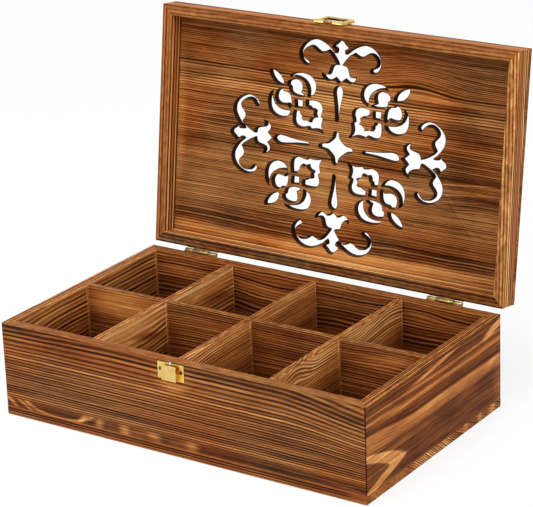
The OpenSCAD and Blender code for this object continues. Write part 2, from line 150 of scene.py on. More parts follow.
class Graph:
    """The node tree of a material or of the world."""

    def __init__(self, owner: bpy.types.Material | bpy.types.World) -> None:
        """Empties a node tree.

        Args:
            owner: The material or world that it belongs to.
        """
        owner.use_nodes = True
        self.owner = owner
        self.tree = owner.node_tree
        self.tree.nodes.clear()

    @classmethod
    def material(cls, name: str) -> Graph:
        """The empty tree of a new material."""
        return cls(bpy.data.materials.new(name))

    def node(self, kind: str, settings: dict, inputs: dict[str | int, Input]) -> bpy.types.Node:
        """Adds one node.

        Args:
            kind: The node's type.
            settings: Its settings; "stops" fills a colour ramp.
            inputs: Values or links by socket name or number.

        Returns:
            The new node.
        """
        node = self.tree.nodes.new(kind)
        for name, value in settings.items():
            if name == "stops":
                self._fill_ramp(node.color_ramp, value)
            else:
                setattr(node, name, value)
        for name, value in inputs.items():
            if isinstance(value, Value):
                value = value.socket
            if isinstance(value, Socket):
                self.tree.links.new(value, node.inputs[name])
            else:
                node.inputs[name].default_value = value
        return node

    @staticmethod
    def _fill_ramp(ramp: bpy.types.ColorRamp, stops: Iterable) -> None:
        """Sets a ramp's stops.

        Args:
            ramp: The ramp.
            stops: Pairs of a place and a colour or a grey, in rising order of place.
        """
        stops = [(p, c if isinstance(c, tuple) else (c, c, c, 1.0)) for p, c in stops]
        while len(ramp.elements) < len(stops):
            ramp.elements.new(1.0)
        for element, (place, colour) in zip(ramp.elements, stops):
            element.position = place
            element.color = colour

    def value(self, kind: str, settings: dict, inputs: dict, output: int | str = 0) -> Value:
        """A new node's output, as a number."""
        return Value(self, self.node(kind, settings, inputs).outputs[output])

    def math(self, operation: str, *terms: Value | float) -> Value:
        """A Math node on its terms."""
        return self.value("ShaderNodeMath", {"operation": operation}, dict(enumerate(terms)))

    def vector(self, operation: str, *terms: Input, **named: float) -> bpy.types.Node:
        """A Vector Math node on its terms."""
        inputs: dict = dict(enumerate(terms)) | named
        return self.node("ShaderNodeVectorMath", {"operation": operation}, inputs)

    def map(self, kind: str, vector: Socket, place: tuple, turn: tuple, size: tuple) -> Socket:
        """A Mapping node's vector."""
        inputs = {"Vector": vector, "Location": place, "Rotation": turn, "Scale": size}
        return self.node("ShaderNodeMapping", {"vector_type": kind}, inputs).outputs[0]

    def point(self, posed: Matrix | None) -> Socket:
        """The surface point in millimetres.

        Args:
            posed: The lid's open pose; the point is then given as if the lid were closed.

        Returns:
            A vector socket.
        """
        where = self.node("ShaderNodeTexCoord", {}, {}).outputs["Object"]
        if posed is not None:
            back = posed.inverted()
            place, turn = tuple(back.to_translation()), tuple(back.to_euler())
            where = self.map("POINT", where, place, turn, (1.0, 1.0, 1.0))
        return self.vector("SCALE", where, Scale=1 / MM).outputs[0]

    def split(self, vector: Socket) -> tuple[Value, ...]:
        """The three parts of a vector."""
        node = self.node("ShaderNodeSeparateXYZ", {}, {0: vector})
        return tuple(Value(self, output) for output in node.outputs)

    def join(self, x: Input, y: Input, z: Input) -> Socket:
        """A vector of three parts."""
        return self.node("ShaderNodeCombineXYZ", {}, {0: x, 1: y, 2: z}).outputs[0]

    def noise(self, vector: Socket, lumps: Lumps, seed: float) -> Value:
        """Soft noise around 0, between about -0.5 and 0.5.

        Args:
            vector: Where it is read, in millimetres.
            lumps: Its measures.
            seed: Moves it to another place.

        Returns:
            The noise.
        """
        scale = tuple(1 / size for size in lumps.size)
        away = tuple((seed + lumps.shift) * step for step in SEED_STEP)
        moved = self.vector("MULTIPLY_ADD", vector, scale, away).outputs[0]
        inputs = {"Vector": moved, "Scale": 1.0, "Detail": lumps.detail,
                  "Roughness": lumps.roughness}
        return self.value("ShaderNodeTexNoise", {"noise_dimensions": "3D"}, inputs) - 0.5

    def chance(self, number: Value) -> Value:
        """A random number from 0 to 1 for each whole number."""
        return self.value(
            "ShaderNodeTexWhiteNoise", {"noise_dimensions": "1D"}, {"W": number}, "Value")

    def between(
        self, value: Value, start: Input, end: Input, low: float = 0.0, high: float = 1.0
    ) -> Value:
        """A smooth step of value from low, at start, to high, at end."""
        inputs = {"Value": value, "From Min": start, "From Max": end, "To Min": low,
                  "To Max": high}
        return self.value("ShaderNodeMapRange", {"interpolation_type": "SMOOTHSTEP"}, inputs)

    def window(self, value: Value, rise: tuple, fall: tuple) -> Value:
        """1 between a smooth step up over rise and one down over fall."""
        return self.between(value, *rise) * self.between(value, *fall, 1.0, 0.0)

    def profile(self, value: Value, points: tuple) -> Value:
        """Straight stretches between given points.

        Args:
            value: Where it is read.
            points: Pairs of place and height, in rising order of place.

        Returns:
            The height at value.
        """
        first, last = points[0][0], points[-1][0]
        heights = [p[1] for p in points]
        low, span = min(heights), max(max(heights) - min(heights), 1e-6)
        stops = [((p - first) / (last - first), (h - low) / span) for p, h in points]
        ramp = self.ramp((value - first) * (1 / (last - first)), stops)
        return Value(self, ramp) * span + low

    def level(self, value: Value, setting: Level) -> Value | float:
        """A setting that is one number, or pairs of place and number."""
        return self.profile(value, setting) if isinstance(setting, tuple) else setting

    def reach(self, vector: Socket, middle: tuple, size: tuple, turn: float = 0.0) -> Value:
        """How far out in a turned ellipsoid a point lies, 0 in its middle and 1 at its surface."""
        local = self.map("TEXTURE", vector, middle, (0.0, 0.0, math.radians(turn)), size)
        return Value(self, self.vector("LENGTH", local).outputs["Value"])

    def ramp(self, place: Value, stops: Iterable) -> Socket:
        """A colour ramp's colour."""
        return self.node("ShaderNodeValToRGB", {"stops": stops}, {0: place}).outputs[0]

    def mix(self, factor: Input, first: Input, second: Input, blend: str = "MIX") -> Socket:
        """A colour between two colours."""
        settings = {"data_type": "RGBA", "blend_type": blend}
        return self.node("ShaderNodeMix", settings, {0: factor, 6: first, 7: second}).outputs[2]

    def bump(self, height: Value, strength: float, depth: float) -> Socket:
        """A normal tilted by a relief of some depth, in millimetres."""
        inputs = {"Height": height, "Strength": strength, "Distance": depth * MM}
        return self.node("ShaderNodeBump", {}, inputs).outputs[0]

    def surface(self, **inputs: Input) -> bpy.types.Material:
        """Ends the graph with a Principled shader.

        Args:
            **inputs: Its sockets by name, with underscores for spaces.

        Returns:
            The finished material.
        """
        named = {name.replace("_", " "): value for name, value in inputs.items()}
        return self.end(self.node("ShaderNodeBsdfPrincipled", {}, named).outputs[0])

    def end(self, shader: Socket, output: str = "Material") -> bpy.types.ID:
        """Links the last shader to the output, and gives the finished owner."""
        self.node(f"ShaderNodeOutput{output}", {}, {"Surface": shader})
        return self.owner


# ------------------------------------------------------------------ finishes


@dataclass(frozen=True)
class Patch:
    """A soft oval on a board's face."""

    at: tuple[float, ...]  # middle, along and across the grain
    size: tuple[float, ...]  # half length and half height
    amount: float  # how much paler it makes the wood, or how far it pushes the rings across
    turn: float = 0.0  # in degrees
    rim: float = 0.0  # 0 for a filled oval, or the share of it that its outline takes
    calm: float = 0.0  # how far it smooths the ring lines away
    core: float = 0.0  # the share of it that is fully covered
    # lowest and highest place across the grain that it reaches, or None
    clip: tuple[float, float] | None = None

    def shape(self, g: Graph, flat: Socket, across: Value) -> Value:
        """Draws the oval.

        Args:
            g: The board's graph.
            flat: The point on the board, along and across the grain.
            across: The same point's place across the grain.

        Returns:
            1 inside and 0 outside.
        """
        away = g.reach(flat, (*self.at, 0.0), (*self.size, 1.0), self.turn)
        if self.rim:
            away = (away - 1.0).absolute() * (1 / self.rim)
        shape = g.between(away, self.core, 1.0, 1.0, 0.0)
        if self.clip:
            low, high = self.clip
            shape = shape * g.window(across, (low - 0.4, low + 0.2), (high - 0.2, high + 0.4))
        return shape


def marks(*rows: tuple[float, ...], clip: tuple[float, float] | None = None) -> tuple[Patch, ...]:
    """Patches from rows of numbers.

    Args:
        *rows: Middle along and across, half length, half height, amount, and then any of turn,
            rim, calm and core.
        clip: Lowest and highest place across the grain that they reach, or None.

    Returns:
        The patches.
    """
    return tuple(Patch(row[:2], row[2:4], *row[4:], clip=clip) for row in rows)


@dataclass(frozen=True)
class Flame:
    """A pointed flame of pale wood, as where a saw meets the heart of a knot."""

    tip: tuple[float, float]  # tip, along and across the grain
    spread: tuple[float, float]  # length lost for each millimetre above and below the tip
    curve: float  # how fast its sides bend outwards
    band: tuple[float, float]  # where its pale band starts and ends, back from the tip
    amount: float  # how much paler it makes the wood
    inner: float = 0.0  # how much darker the wood is within the band

    def lighten(self, g: Graph, along: Value, across: Value) -> Value:
        """How much the flame changes the wood's tone.

        Args:
            g: The board's graph.
            along: Place along the grain.
            across: Place across the grain.

        Returns:
            The change of tone.
        """
        up = across - self.tip[1]
        above, below = g.math("MAXIMUM", up, 0.0), g.math("MAXIMUM", up * -1, 0.0)
        lost = above * self.spread[0] + below * self.spread[1]
        back = (self.tip[0] - along) - lost - (above * above + below * below) * self.curve
        first, last = self.band
        pale = g.window(back, (first - 1, first + 5), (last, last + 4))
        return pale * self.amount - g.between(back, last, last + 4) * self.inner


@dataclass(frozen=True)
class Rim:
    """The sawn edge of a board."""

    height: float  # height across the board
    up: int  # 1 where it is the board's upper edge, -1 where it is the lower one
    tone: float  # brightness
    contrast: float  # strength of its ring lines
    mottle: float  # strength of its pale and dark spots
    tan: float  # how far its colour is turned from red brown to tan


class Grain(Enum):
    """The axes that a board's grain runs along, across and through."""

    LENGTHWISE_UPRIGHT = (0, 2, 1)
    DEPTHWISE_UPRIGHT = (1, 2, 0)
    LENGTHWISE_FLAT = (0, 1, 2)


PALETTE = (
    (0.0, srgb(48, 19, 5)), (0.12, srgb(76, 33, 8)), (0.24, srgb(99, 48, 16)),
    (0.36, srgb(123, 66, 26)), (0.48, srgb(147, 84, 38)), (0.6, srgb(169, 101, 48)),
    (0.72, srgb(190, 121, 61)), (0.86, srgb(213, 152, 86)), (1.0, srgb(234, 190, 130)),
)
CHAR = srgb(26, 12, 6)
TAN = srgb(176, 140, 88)

# The noises of torched pine: slow and quick swings of the rings, changes of their strength,
# streaks and fibres, uneven scorching, spots on sawn edges, and clouds of tan.
WANDER = Lumps((95, 24, 24))
RIPPLE = Lumps((32, 8, 8), 5, 1)
FADE = Lumps((55, 5, 5), 25, 1)
STREAK = Lumps((70, 1.5, 1.5), 9, 3)
FIBRE = Lumps((9, 0.45, 0.45), 13)
BLOTCH = Lumps((38, 13, 13), 17, 3)
SPOTS = Lumps((7, 3, 3), 21)
CLOUD = Lumps((70, 40, 40), 29, 1)

SWAY_SLOW, SWAY_QUICK = 2.0, 0.9  # how far the noises move the rings, in a board's sways
LINE_START = 0.3  # how far a dark line's start varies within its ring, and how soft it is
LINE_BACK = 0.25  # how far before the fill it starts at the earliest
LINE_END = (0.9, 1.0)  # where in its ring it ends
LINE_SHARE = 0.36  # the share of the lines that keeps the board's mean tone
LINE_LUCK, LINE_LEAST = 1.1, 0.45  # how far the strength of a line varies, and its least
SECOND_DRAW = 0.37  # sets a ring's second random number apart from its first
FADE_SWING = 1.6  # how far the strength of the lines swings along the board
STREAK_TONE, FIBRE_TONE = 0.55, 0.35  # how far streaks and fibres change the tone
JOINT_EDGE = (0.4, 0.9)  # how far from a joint its pale line starts to fade, and ends
JOINT_PALE, JOINT_CALM = 0.2, 0.9  # how much paler it is, and how far it hides the rings
ARRIS_WEAR_AND_HIGHLIGHT = (-1.2, -0.7)  # where the paler arris starts, before the sawn edge; it is partly worn wood and partly a painted highlight on the rounded edge
ARRIS_PALE = 0.07  # how much paler it is
SAWN_FROM = (-0.4, -0.15)  # where the sawn edge starts
SAWN_GRAIN = 0.8  # strength of its streaks and fibres
CLOUD_SPAN = (-0.16, 0.16)  # the noise over which a cloud of tan grows
BURN_SHARE = 0.93  # how black a charred cut is
WOOD_ROUGH, WOOD_BUMP, WOOD_RELIEF = 0.62, 0.35, 0.25  # roughness, bump, its depth in mm


@dataclass(frozen=True)
class Plank:
    """The grain and scorching of one board."""

    grain: Grain  # which way the grain runs
    rings: tuple  # pairs of height across the board and number of rings up to there
    tones: tuple  # pairs of height across the board and brightness, 0 burnt to 1 pale
    contrast: Level  # strength of the ring lines, the same all over or by height
    fill: Level  # share of each ring before its dark line, the same all over or by height
    through: float  # rings per millimetre through the board
    sway: float  # how far the rings wander
    tilt: float = 0.0  # how far the rings climb per millimetre along the board
    flip: float | None = None  # where across is measured backwards from, or None
    patches: tuple[Patch, ...] = ()  # paler and darker places
    bends: tuple[Patch, ...] = ()  # places where the rings are pushed aside
    flames: tuple[Flame, ...] = ()  # pointed figures
    rim: Rim | None = None  # the sawn edge, or None
    blotch: float = 0.2  # strength of the uneven scorching
    uneven: float = 0.14  # how much whole rings differ in brightness
    # places along it where another board meets its face, which leaves a pale line
    joints: tuple[float, ...] = ()
    # where through the board its outer part ends and its inner part starts, or None where both
    # faces are inside
    inside: tuple[float, float] | None = None
    haze: float = 0.12  # how far its colour turns from red brown to tan in places
    gloss: float = 0.08  # strength of its sheen
    seed: float = 1.0  # makes the board differ from the others

    def dress(
        self, name: str, posed: Matrix | None = None, burnt: bool = False
    ) -> bpy.types.Material:
        """Makes the board's material.

        Args:
            name: The material's name.
            posed: The lid's open pose for a board of the lid.
            burnt: Whether the mesh carries a "burn" attribute for charred cut edges.

        Returns:
            The material.
        """
        g = Graph.material(name)
        parts = g.split(g.point(posed))
        along, across, through = (parts[axis] for axis in self.grain.value)
        if self.flip is not None:
            across = self.flip - across
        flat, solid = g.join(along, across, 0.0), g.join(along, across, through)

        # Rings, each with its own strength and width.
        wander = g.noise(solid, WANDER, self.seed) * (SWAY_SLOW * self.sway)
        ripple = g.noise(solid, RIPPLE, self.seed) * (SWAY_QUICK * self.sway)
        height = across + wander + ripple
        if self.tilt:
            height = height + along * self.tilt
        for bend in self.bends:
            height = height + bend.shape(g, flat, across) * bend.amount
        ring = g.profile(height, self.rings) + through * self.through
        number = ring.floor()
        luck = g.chance(number + self.seed)
        other = g.chance(number + (self.seed + SECOND_DRAW))
        start = other * LINE_START + (g.level(height, self.fill) - LINE_BACK)
        line = g.window(ring - number, (start, start + LINE_START), LINE_END)
        lines = (line - LINE_SHARE) * (luck * LINE_LUCK + LINE_LEAST)

        # Scorching, and what changes it in places.
        tone = g.profile(height, self.tones) + (other - 0.5) * self.uneven
        fade = g.noise(solid, FADE, self.seed) * FADE_SWING + 1
        strength = fade * g.level(height, self.contrast)
        for patch in self.patches:
            shape = patch.shape(g, flat, across)
            if patch.amount:
                tone = tone + shape * patch.amount
            if patch.calm:
                strength = strength * (1 - shape * patch.calm)
        for place in self.joints:
            worn = g.between((along - place).absolute(), *JOINT_EDGE, 1.0, 0.0)
            if self.inside:
                worn = worn * g.between(through, *self.inside)
            tone = tone + worn * JOINT_PALE
            strength = strength * (1 - worn * JOINT_CALM)
        for flame in self.flames:
            tone = tone + flame.lighten(g, along + wander * 2, across + ripple)
        streak, fibre = g.noise(solid, STREAK, self.seed), g.noise(solid, FIBRE, self.seed)
        grainy = streak * STREAK_TONE + fibre * FIBRE_TONE
        tone = tone - lines * strength + grainy + g.noise(solid, BLOTCH, self.seed) * self.blotch

        # The sawn edge has its own tone, and a paler arris under it, partly worn wood and partly a
        # painted highlight.
        rim = self.rim
        if rim:
            over = (across - rim.height) * rim.up
            spots = g.noise(solid, SPOTS, self.seed) * rim.mottle
            sawn = rim.tone - lines * rim.contrast + grainy * SAWN_GRAIN + spots
            tone = tone + g.between(over, *ARRIS_WEAR_AND_HIGHLIGHT) * ARRIS_PALE
            edge = g.between(over, *SAWN_FROM)
            tone = tone + (sawn - tone) * edge

        colour = g.ramp(tone, PALETTE)
        if self.haze:
            cloud = g.between(g.noise(solid, CLOUD, self.seed), *CLOUD_SPAN)
            colour = g.mix(cloud * self.haze, colour, TAN, "COLOR")
        if rim:
            colour = g.mix(edge * rim.tan, colour, TAN, "COLOR")
        if burnt:
            burn = g.value("ShaderNodeAttribute", {"attribute_name": "burn"}, {}, "Fac")
            colour = g.mix(burn * BURN_SHARE, colour, CHAR)
        relief = fibre * 0.5 - line * 0.5 + streak * 0.3
        return g.surface(
            Base_Color=colour, Roughness=WOOD_ROUGH - tone * 0.1 + fibre * 0.15,
            Normal=g.bump(relief, WOOD_BUMP, WOOD_RELIEF), Specular_IOR_Level=self.gloss)


TARNISH = Lumps((5, 5, 5), 0, 3)
BRUSHING = Lumps((3.0, 0.25, 0.25), 3)
TARNISH_SPAN = (0.2, 0.6)  # the noise over which tarnish grows
TARNISH_SHARE = 0.6  # how far it covers the clean metal
# Painted reflection and shade: the orange of the wood mirrored in the catch's plate, in the shade
# beside its tongue.
PAINTED_REFLECTION_ORANGE = srgb(226, 158, 34)
REFLECTION_FADE = (0.5, 1.0, 0.9, 0.0)  # where the painted reflection starts to fade and ends, and its strengths
METAL_BUMP, METAL_RELIEF = 0.15, 0.05  # strength of the brushing, and its depth in mm


@dataclass(frozen=True)
class Metal:
    """A plated or plain metal finish."""

    name: str  # name of its material
    colour: tuple  # colour where clean
    worn: tuple  # colour where tarnished
    roughness: float  # how matt it is
    tarnish: float  # share of the surface that is tarnished
    seed: float  # makes one finish differ from the others
    # middle and half size, in millimetres, of a painted orange patch that stands in for the wood's
    # reflection and the tongue's shade on the plate, or None
    painted_reflection: tuple | None = None

    def dress(self) -> bpy.types.Material:
        """Makes the metal's material.

        Returns:
            The material.
        """
        g = Graph.material(self.name)
        where = g.point(None)
        cloud, fine = g.noise(where, TARNISH, self.seed), g.noise(where, BRUSHING, self.seed)
        start, end = (edge - self.tarnish for edge in TARNISH_SPAN)
        share = g.between(cloud + fine * 0.3, start, end)
        colour = g.mix(share * TARNISH_SHARE, self.colour, self.worn)
        # Painted reflection and shade: an orange patch where the wood is mirrored in the plate
        # beside the catch's tongue.
        if self.painted_reflection:
            reflection_share = g.between(g.reach(where, *self.painted_reflection) + cloud * 0.4, *REFLECTION_FADE)
            colour = g.mix(reflection_share, colour, PAINTED_REFLECTION_ORANGE)
        return g.surface(
            Base_Color=colour, Roughness=self.roughness + cloud * 0.15 + fine * 0.12,
            Metallic=1.0, Normal=g.bump(fine, METAL_BUMP, METAL_RELIEF))


# The plate's orange patch right of the tongue is a painted reflection of the wood, in the tongue's
# shade.
PLATE_BRASS = Metal("reflection_painted_brass", srgb(230, 202, 116), srgb(214, 160, 62), 0.34, 0.3, 2,
                    ((4.9, -101.0, 69.0), (3.0, 4.0, 8.4)))
BRASS = Metal("pale_brass", srgb(228, 196, 120), srgb(214, 166, 84), 0.34, 0.3, 1)
HINGE_BRASS = Metal("old_brass", srgb(178, 150, 98), srgb(70, 48, 24), 0.32, 0.5, 6)
BRIGHT_BRASS = Metal("bright_brass", srgb(236, 208, 126), srgb(206, 152, 66), 0.22, 0.35, 4)
# Painted shade and reflection: a darker, oranger copy of the brass for the hasp's leaf, which lies
# in shade under the loop and mirrors the wood.
SHADED_BRASS = Metal("shaded_brass", srgb(176, 132, 66), srgb(92, 58, 26), 0.5, 0.4, 5)
STEEL = Metal("plated_steel", srgb(216, 216, 220), srgb(150, 146, 142), 0.3, 0.3, 7)
# Partly the screws' dull metal and partly painted shade: these small screws lie in shade beside
# the catch's tongue and under the hasp's loop.
DARK_STEEL = Metal("dull_shaded_screw", srgb(104, 78, 44), srgb(48, 32, 18), 0.45, 0.5, 9)

# ------------------------------------------------------------------ boards of this box
#
# Places along a board are from the middle of the box. Places across an upright board are heights
# over the box's underside, given for the lid's rails as when the lid is closed. Places across the
# bottom board are from its middle, and across the lid's panel from its hinged edge.

LOWEST_BAND = (7.6, 15.4)  # heights of the front wall's bottom band of pale flames
CROSSINGS = (-3.9, 89.8)  # where the long divider and the back wall meet a board
CORNER = -.3  # how much darker a wall's outer corner is
DIVIDER_RIM = Rim(77, 1, .46, .4, .9, .15)

FRONT_WALL = Plank(
    Grain.LENGTHWISE_UPRIGHT,
    rings=((0, -6), (14, 0), (30, 8), (45, 15), (58, 20), (77, 24.8), (95, 29)),
    tones=(
        (0, .33), (7, .31), (7.6, .46), (8.2, .18), (14.2, .18), (15.2, .29), (17, .31), (22, .34),
        (30, .36), (38, .38), (44, .38), (54, .38), (60, .34), (66, .3), (74, .29), (77, .33),
        (95, .33),
    ),
    contrast=((0, .4), (14, .46), (19, .56), (30, .6), (38, .56), (60, .46), (66, .36), (95, .3)),
    fill=((0, .42), (45, .44), (60, .38), (95, .38)),
    through=.32, sway=.7, uneven=.09,
    patches=marks(
        (0, 11.5, 500, 12, 0, 0, 0, .85, .9), (-160, 12.4, 11, 2.6, .46, -36, 0, 0, .2),
        (-147, 11.6, 14, 1.9, .46, -27, 0, 0, .2), (-113, 18, 33, 10.6, .46, 0, .16),
        (-90, 12, 9, 3.2, .4, 40, 0, 0, .2), (-74, 11.6, 7, 10, .46, -24),
        (-50, 11.4, 8, 10, .42, 12), (-60, 11.4, 20, 8, .12, 8), (-22, 11.8, 11, 6, .4, -8),
        (-36, 11.4, 24, 5, .26, 4), (13, 11.6, 10, 7, .42, -8), (2, 11.3, 20, 5, .2),
        clip=LOWEST_BAND,
    ) + marks(
        (-110, 60, 60, 60, -.05), (164.7, 40, .7, 90, CORNER, 0, 0, 0, .5), (-113, 22, 50, 6, .06),
        (150, 10, 26, 1.6, .25, -3), (120, 17, 70, 3.2, .06), (-3, 57, 17, 6, .2, 0, 0, .3),
        (-3, 64, 22, 16, .12, 0, 0, 0, .5), (60, 10, 100, 4, -.04), (100, 40, 110, 50, -.05),
        (-10, 36, 70, 16, .03),
    ),
    bends=marks((192, 72, 104, 62, 13), (-60, 78, 70, 26, -1.6), (-175, 72, 80, 30, 1.6)),
    rim=Rim(77, 1, .42, .15, .4, .08), haze=.26, seed=2.0,
)

RIGHT_WALL = Plank(
    Grain.DEPTHWISE_UPRIGHT,
    rings=((0, 0), (36, 22), (60, 36), (77, 46), (90, 54)),
    tones=(
        (0, .3), (7, .3), (10, .26), (20, .24), (29, .27), (35, .34), (38.5, .5), (42, .5),
        (45, .7), (46.5, .34), (48, .24), (53, .24), (55.5, .48), (58, .66), (59.8, .38),
        (61, .22), (62.6, .28), (64.4, .68), (65.8, .46), (66.8, .26), (74, .26), (90, .28),
    ),
    contrast=((0, .2), (9, .06), (32, .06), (40, .2), (95, .2)),
    fill=.4, through=.5, sway=1.1,
    patches=marks(
        (0, 71.2, 50, 2.4, .5, 5.5, 0, 0, .3), (92, 70.5, 26, 4.6, .6, 12, 0, 0, .4),
        (86, 43.5, 16, 4.5, .2, 14), (-99.7, 40, .7, 90, CORNER, 0, 0, 0, .5),
        (99.7, 40, .7, 90, CORNER, 0, 0, 0, .5), (-90, 76, 36, 1.5, .3), (-30, 66, 70, 2, .1),
        (-55, 56.5, 36, 2.4, .16), (-25, 43.5, 60, 2.6, .16), (60, 44, 45, 3, .1),
        (-40, 30, 70, 6, .05), (-52, 18.5, 14, 4, .12), (96, 22, 12, 26, .2),
        (20, 24, 40, 9, -.05), (66, 27, 12, 5, -.07, 20), (50, 34, 30, 4, .1, 6),
    ),
    bends=marks((-104, 50, 78, 17, -6.5), (-104, 64, 120, 9, -2.0), (100, 60, 60, 20, -.8)),
    flames=(Flame((-42, 19), (1.25, 2.6), .085, (0, 24), .5, -.04),),
    rim=Rim(77, 1, .36, .7, .6, .12), blotch=.32, gloss=.05, seed=5.0,
)

LEFT_WALL = Plank(
    Grain.DEPTHWISE_UPRIGHT,
    rings=((0, 0), (77, 22), (90, 26)),
    # The tones darken towards the bottom: partly the board's scorching and partly painted shade
    # deep in the compartments.
    tones=((0, .2), (7, .2), (30, .32), (50, .42), (66, .52), (77, .58), (90, .58)),
    contrast=.5, fill=.42, through=.28, sway=1.9, haze=.2,
    patches=marks((-60, 70, 60, 9, .1), (70, 66, 40, 12, -.06)),
    joints=CROSSINGS, inside=(-161, -160),
    bends=marks((-110, 40, 90, 60, 7)),
    rim=Rim(77, 1, .5, .4, .6, .12), seed=8.0,
)

BACK_WALL = Plank(
    Grain.LENGTHWISE_UPRIGHT,
    rings=((0, 0), (40, 15), (52, 18), (64, 23), (77, 28), (90, 32)),
    # The tones darken towards the bottom: partly the board's scorching and partly painted shade
    # deep in the compartments.
    tones=((0, .18), (7, .18), (36, .28), (50, .31), (66, .33), (77, .35), (90, .35)),
    contrast=.38, fill=.38, through=.3, sway=2.2,
    patches=marks(
        (-125, 66, 36, 9, .16), (-45, 58, 40, 14, .14), (30, 60, 34, 16, -.08),
        (120, 66, 50, 9, .06),
    ),
    joints=(-154.8,), inside=(96, 95),
    bends=marks((-40, 50, 60, 30, 4), (95, 70, 40, 14, -3)),
    rim=Rim(77, 1, .38, .3, .5, .1), seed=11.0,
)

BOTTOM = Plank(
    Grain.LENGTHWISE_FLAT,
    rings=((-100, 0), (-30, 21), (25, 40), (60, 48), (100, 55)),
    tones=((-100, .3), (-88, .38), (-40, .38), (-30, .56), (20, .6), (30, .38), (100, .38)),
    contrast=((-100, .5), (-88, .25), (-36, .25), (-31, .7), (24, .7), (28, .3), (100, .3)),
    fill=.5, through=.46, sway=.9,
    patches=marks(
        (165, -76, 30, 50, .13, 0, 0, .85, .4), (165, 44, 30, 6, .3), (165, 66, 30, 5, .34),
        (165, 86, 30, 9, .36),
    ),
    seed=14.0,
)

LONG_DIVIDER = Plank(
    Grain.LENGTHWISE_UPRIGHT,
    rings=((0, 0), (40, 24), (77, 42), (90, 48)),
    # The tones darken towards the bottom: partly the board's scorching and partly painted shade
    # deep in the compartments.
    tones=((0, .2), (7, .22), (40, .29), (60, .29), (68, .33), (77, .4), (90, .4)),
    contrast=.34, fill=.42, through=.4, sway=.7,
    patches=marks(
        (-120, 66, 60, 22, .34, 0, 0, .8, .2), (130, 68, 36, 10, .22, 8, 0, .2),
        (40, 60, 22, 18, -.06), (125, 60, 44, 5, .14, -4), (-30, 60, 50, 10, .06),
    ),
    joints=(-154.8, -76.5, 3.6, 83.8),
    bends=marks((-150, 50, 110, 50, 5), (130, 70, 50, 16, -3)),
    rim=Rim(77, 1, .42, .4, .8, .15), seed=17.0,
)

CROSS_LEFT = Plank(
    Grain.DEPTHWISE_UPRIGHT,
    rings=((0, 0), (77, 22), (90, 26)),
    # The tones darken towards the bottom: partly the board's scorching and partly painted shade
    # deep in the compartments.
    tones=((0, .24), (7, .26), (40, .4), (52, .56), (64, .68), (77, .74), (90, .74)),
    contrast=.42, fill=.5, through=.4, sway=1.6,
    patches=marks(
        (-60, 66, 60, 18, .06, 0, 0, .85, .4), (50, 66, 55, 14, .06, 0, 0, .8, .3),
        (-28, 57, 34, 5.5, -.3, -14, 0, .5), (66, 58, 34, 7, -.3, -6, 0, .3),
        (36, 66, 16, 3, .14, 12), (-50, 60, 14, 3, .12, -10),
    ),
    joints=CROSSINGS,
    bends=marks((-40, 50, 60, 30, 5)),
    rim=DIVIDER_RIM, seed=20.0,
)

CROSS_MIDDLE = Plank(
    Grain.DEPTHWISE_UPRIGHT,
    rings=((0, 0), (40, 20), (77, 38), (90, 44)),
    # The tones darken towards the bottom: partly the board's scorching and partly painted shade
    # deep in the compartments.
    tones=((0, .24), (7, .26), (40, .36), (54, .44), (66, .58), (72, .68), (77, .72), (90, .72)),
    contrast=.4, fill=.45, through=.4, sway=1.4, blotch=.4,
    patches=marks((-50, 70, 50, 8, .08), (50, 48, 60, 12, -.06)),
    joints=CROSSINGS,
    bends=marks((-95, 60, 60, 30, 3)),
    rim=DIVIDER_RIM, seed=23.0,
)

CROSS_RIGHT = Plank(
    Grain.DEPTHWISE_UPRIGHT,
    rings=((0, 0), (48, 26), (60, 32), (77, 40), (90, 45)),
    # The tones darken towards the bottom: partly the board's scorching and partly painted shade
    # deep in the compartments.
    tones=((0, .24), (7, .26), (44, .36), (52, .4), (55, .6), (66, .7), (77, .74), (90, .74)),
    contrast=.42, fill=.42, through=.4, sway=1.4, blotch=.4,
    patches=marks((-30, 68, 50, 8, .08), (50, 69, 50, 7, .1)),
    joints=CROSSINGS,
    bends=marks((-62, 78, 34, 22, -7), (70, 76, 50, 24, -6)),
    rim=DIVIDER_RIM, seed=26.0,
)

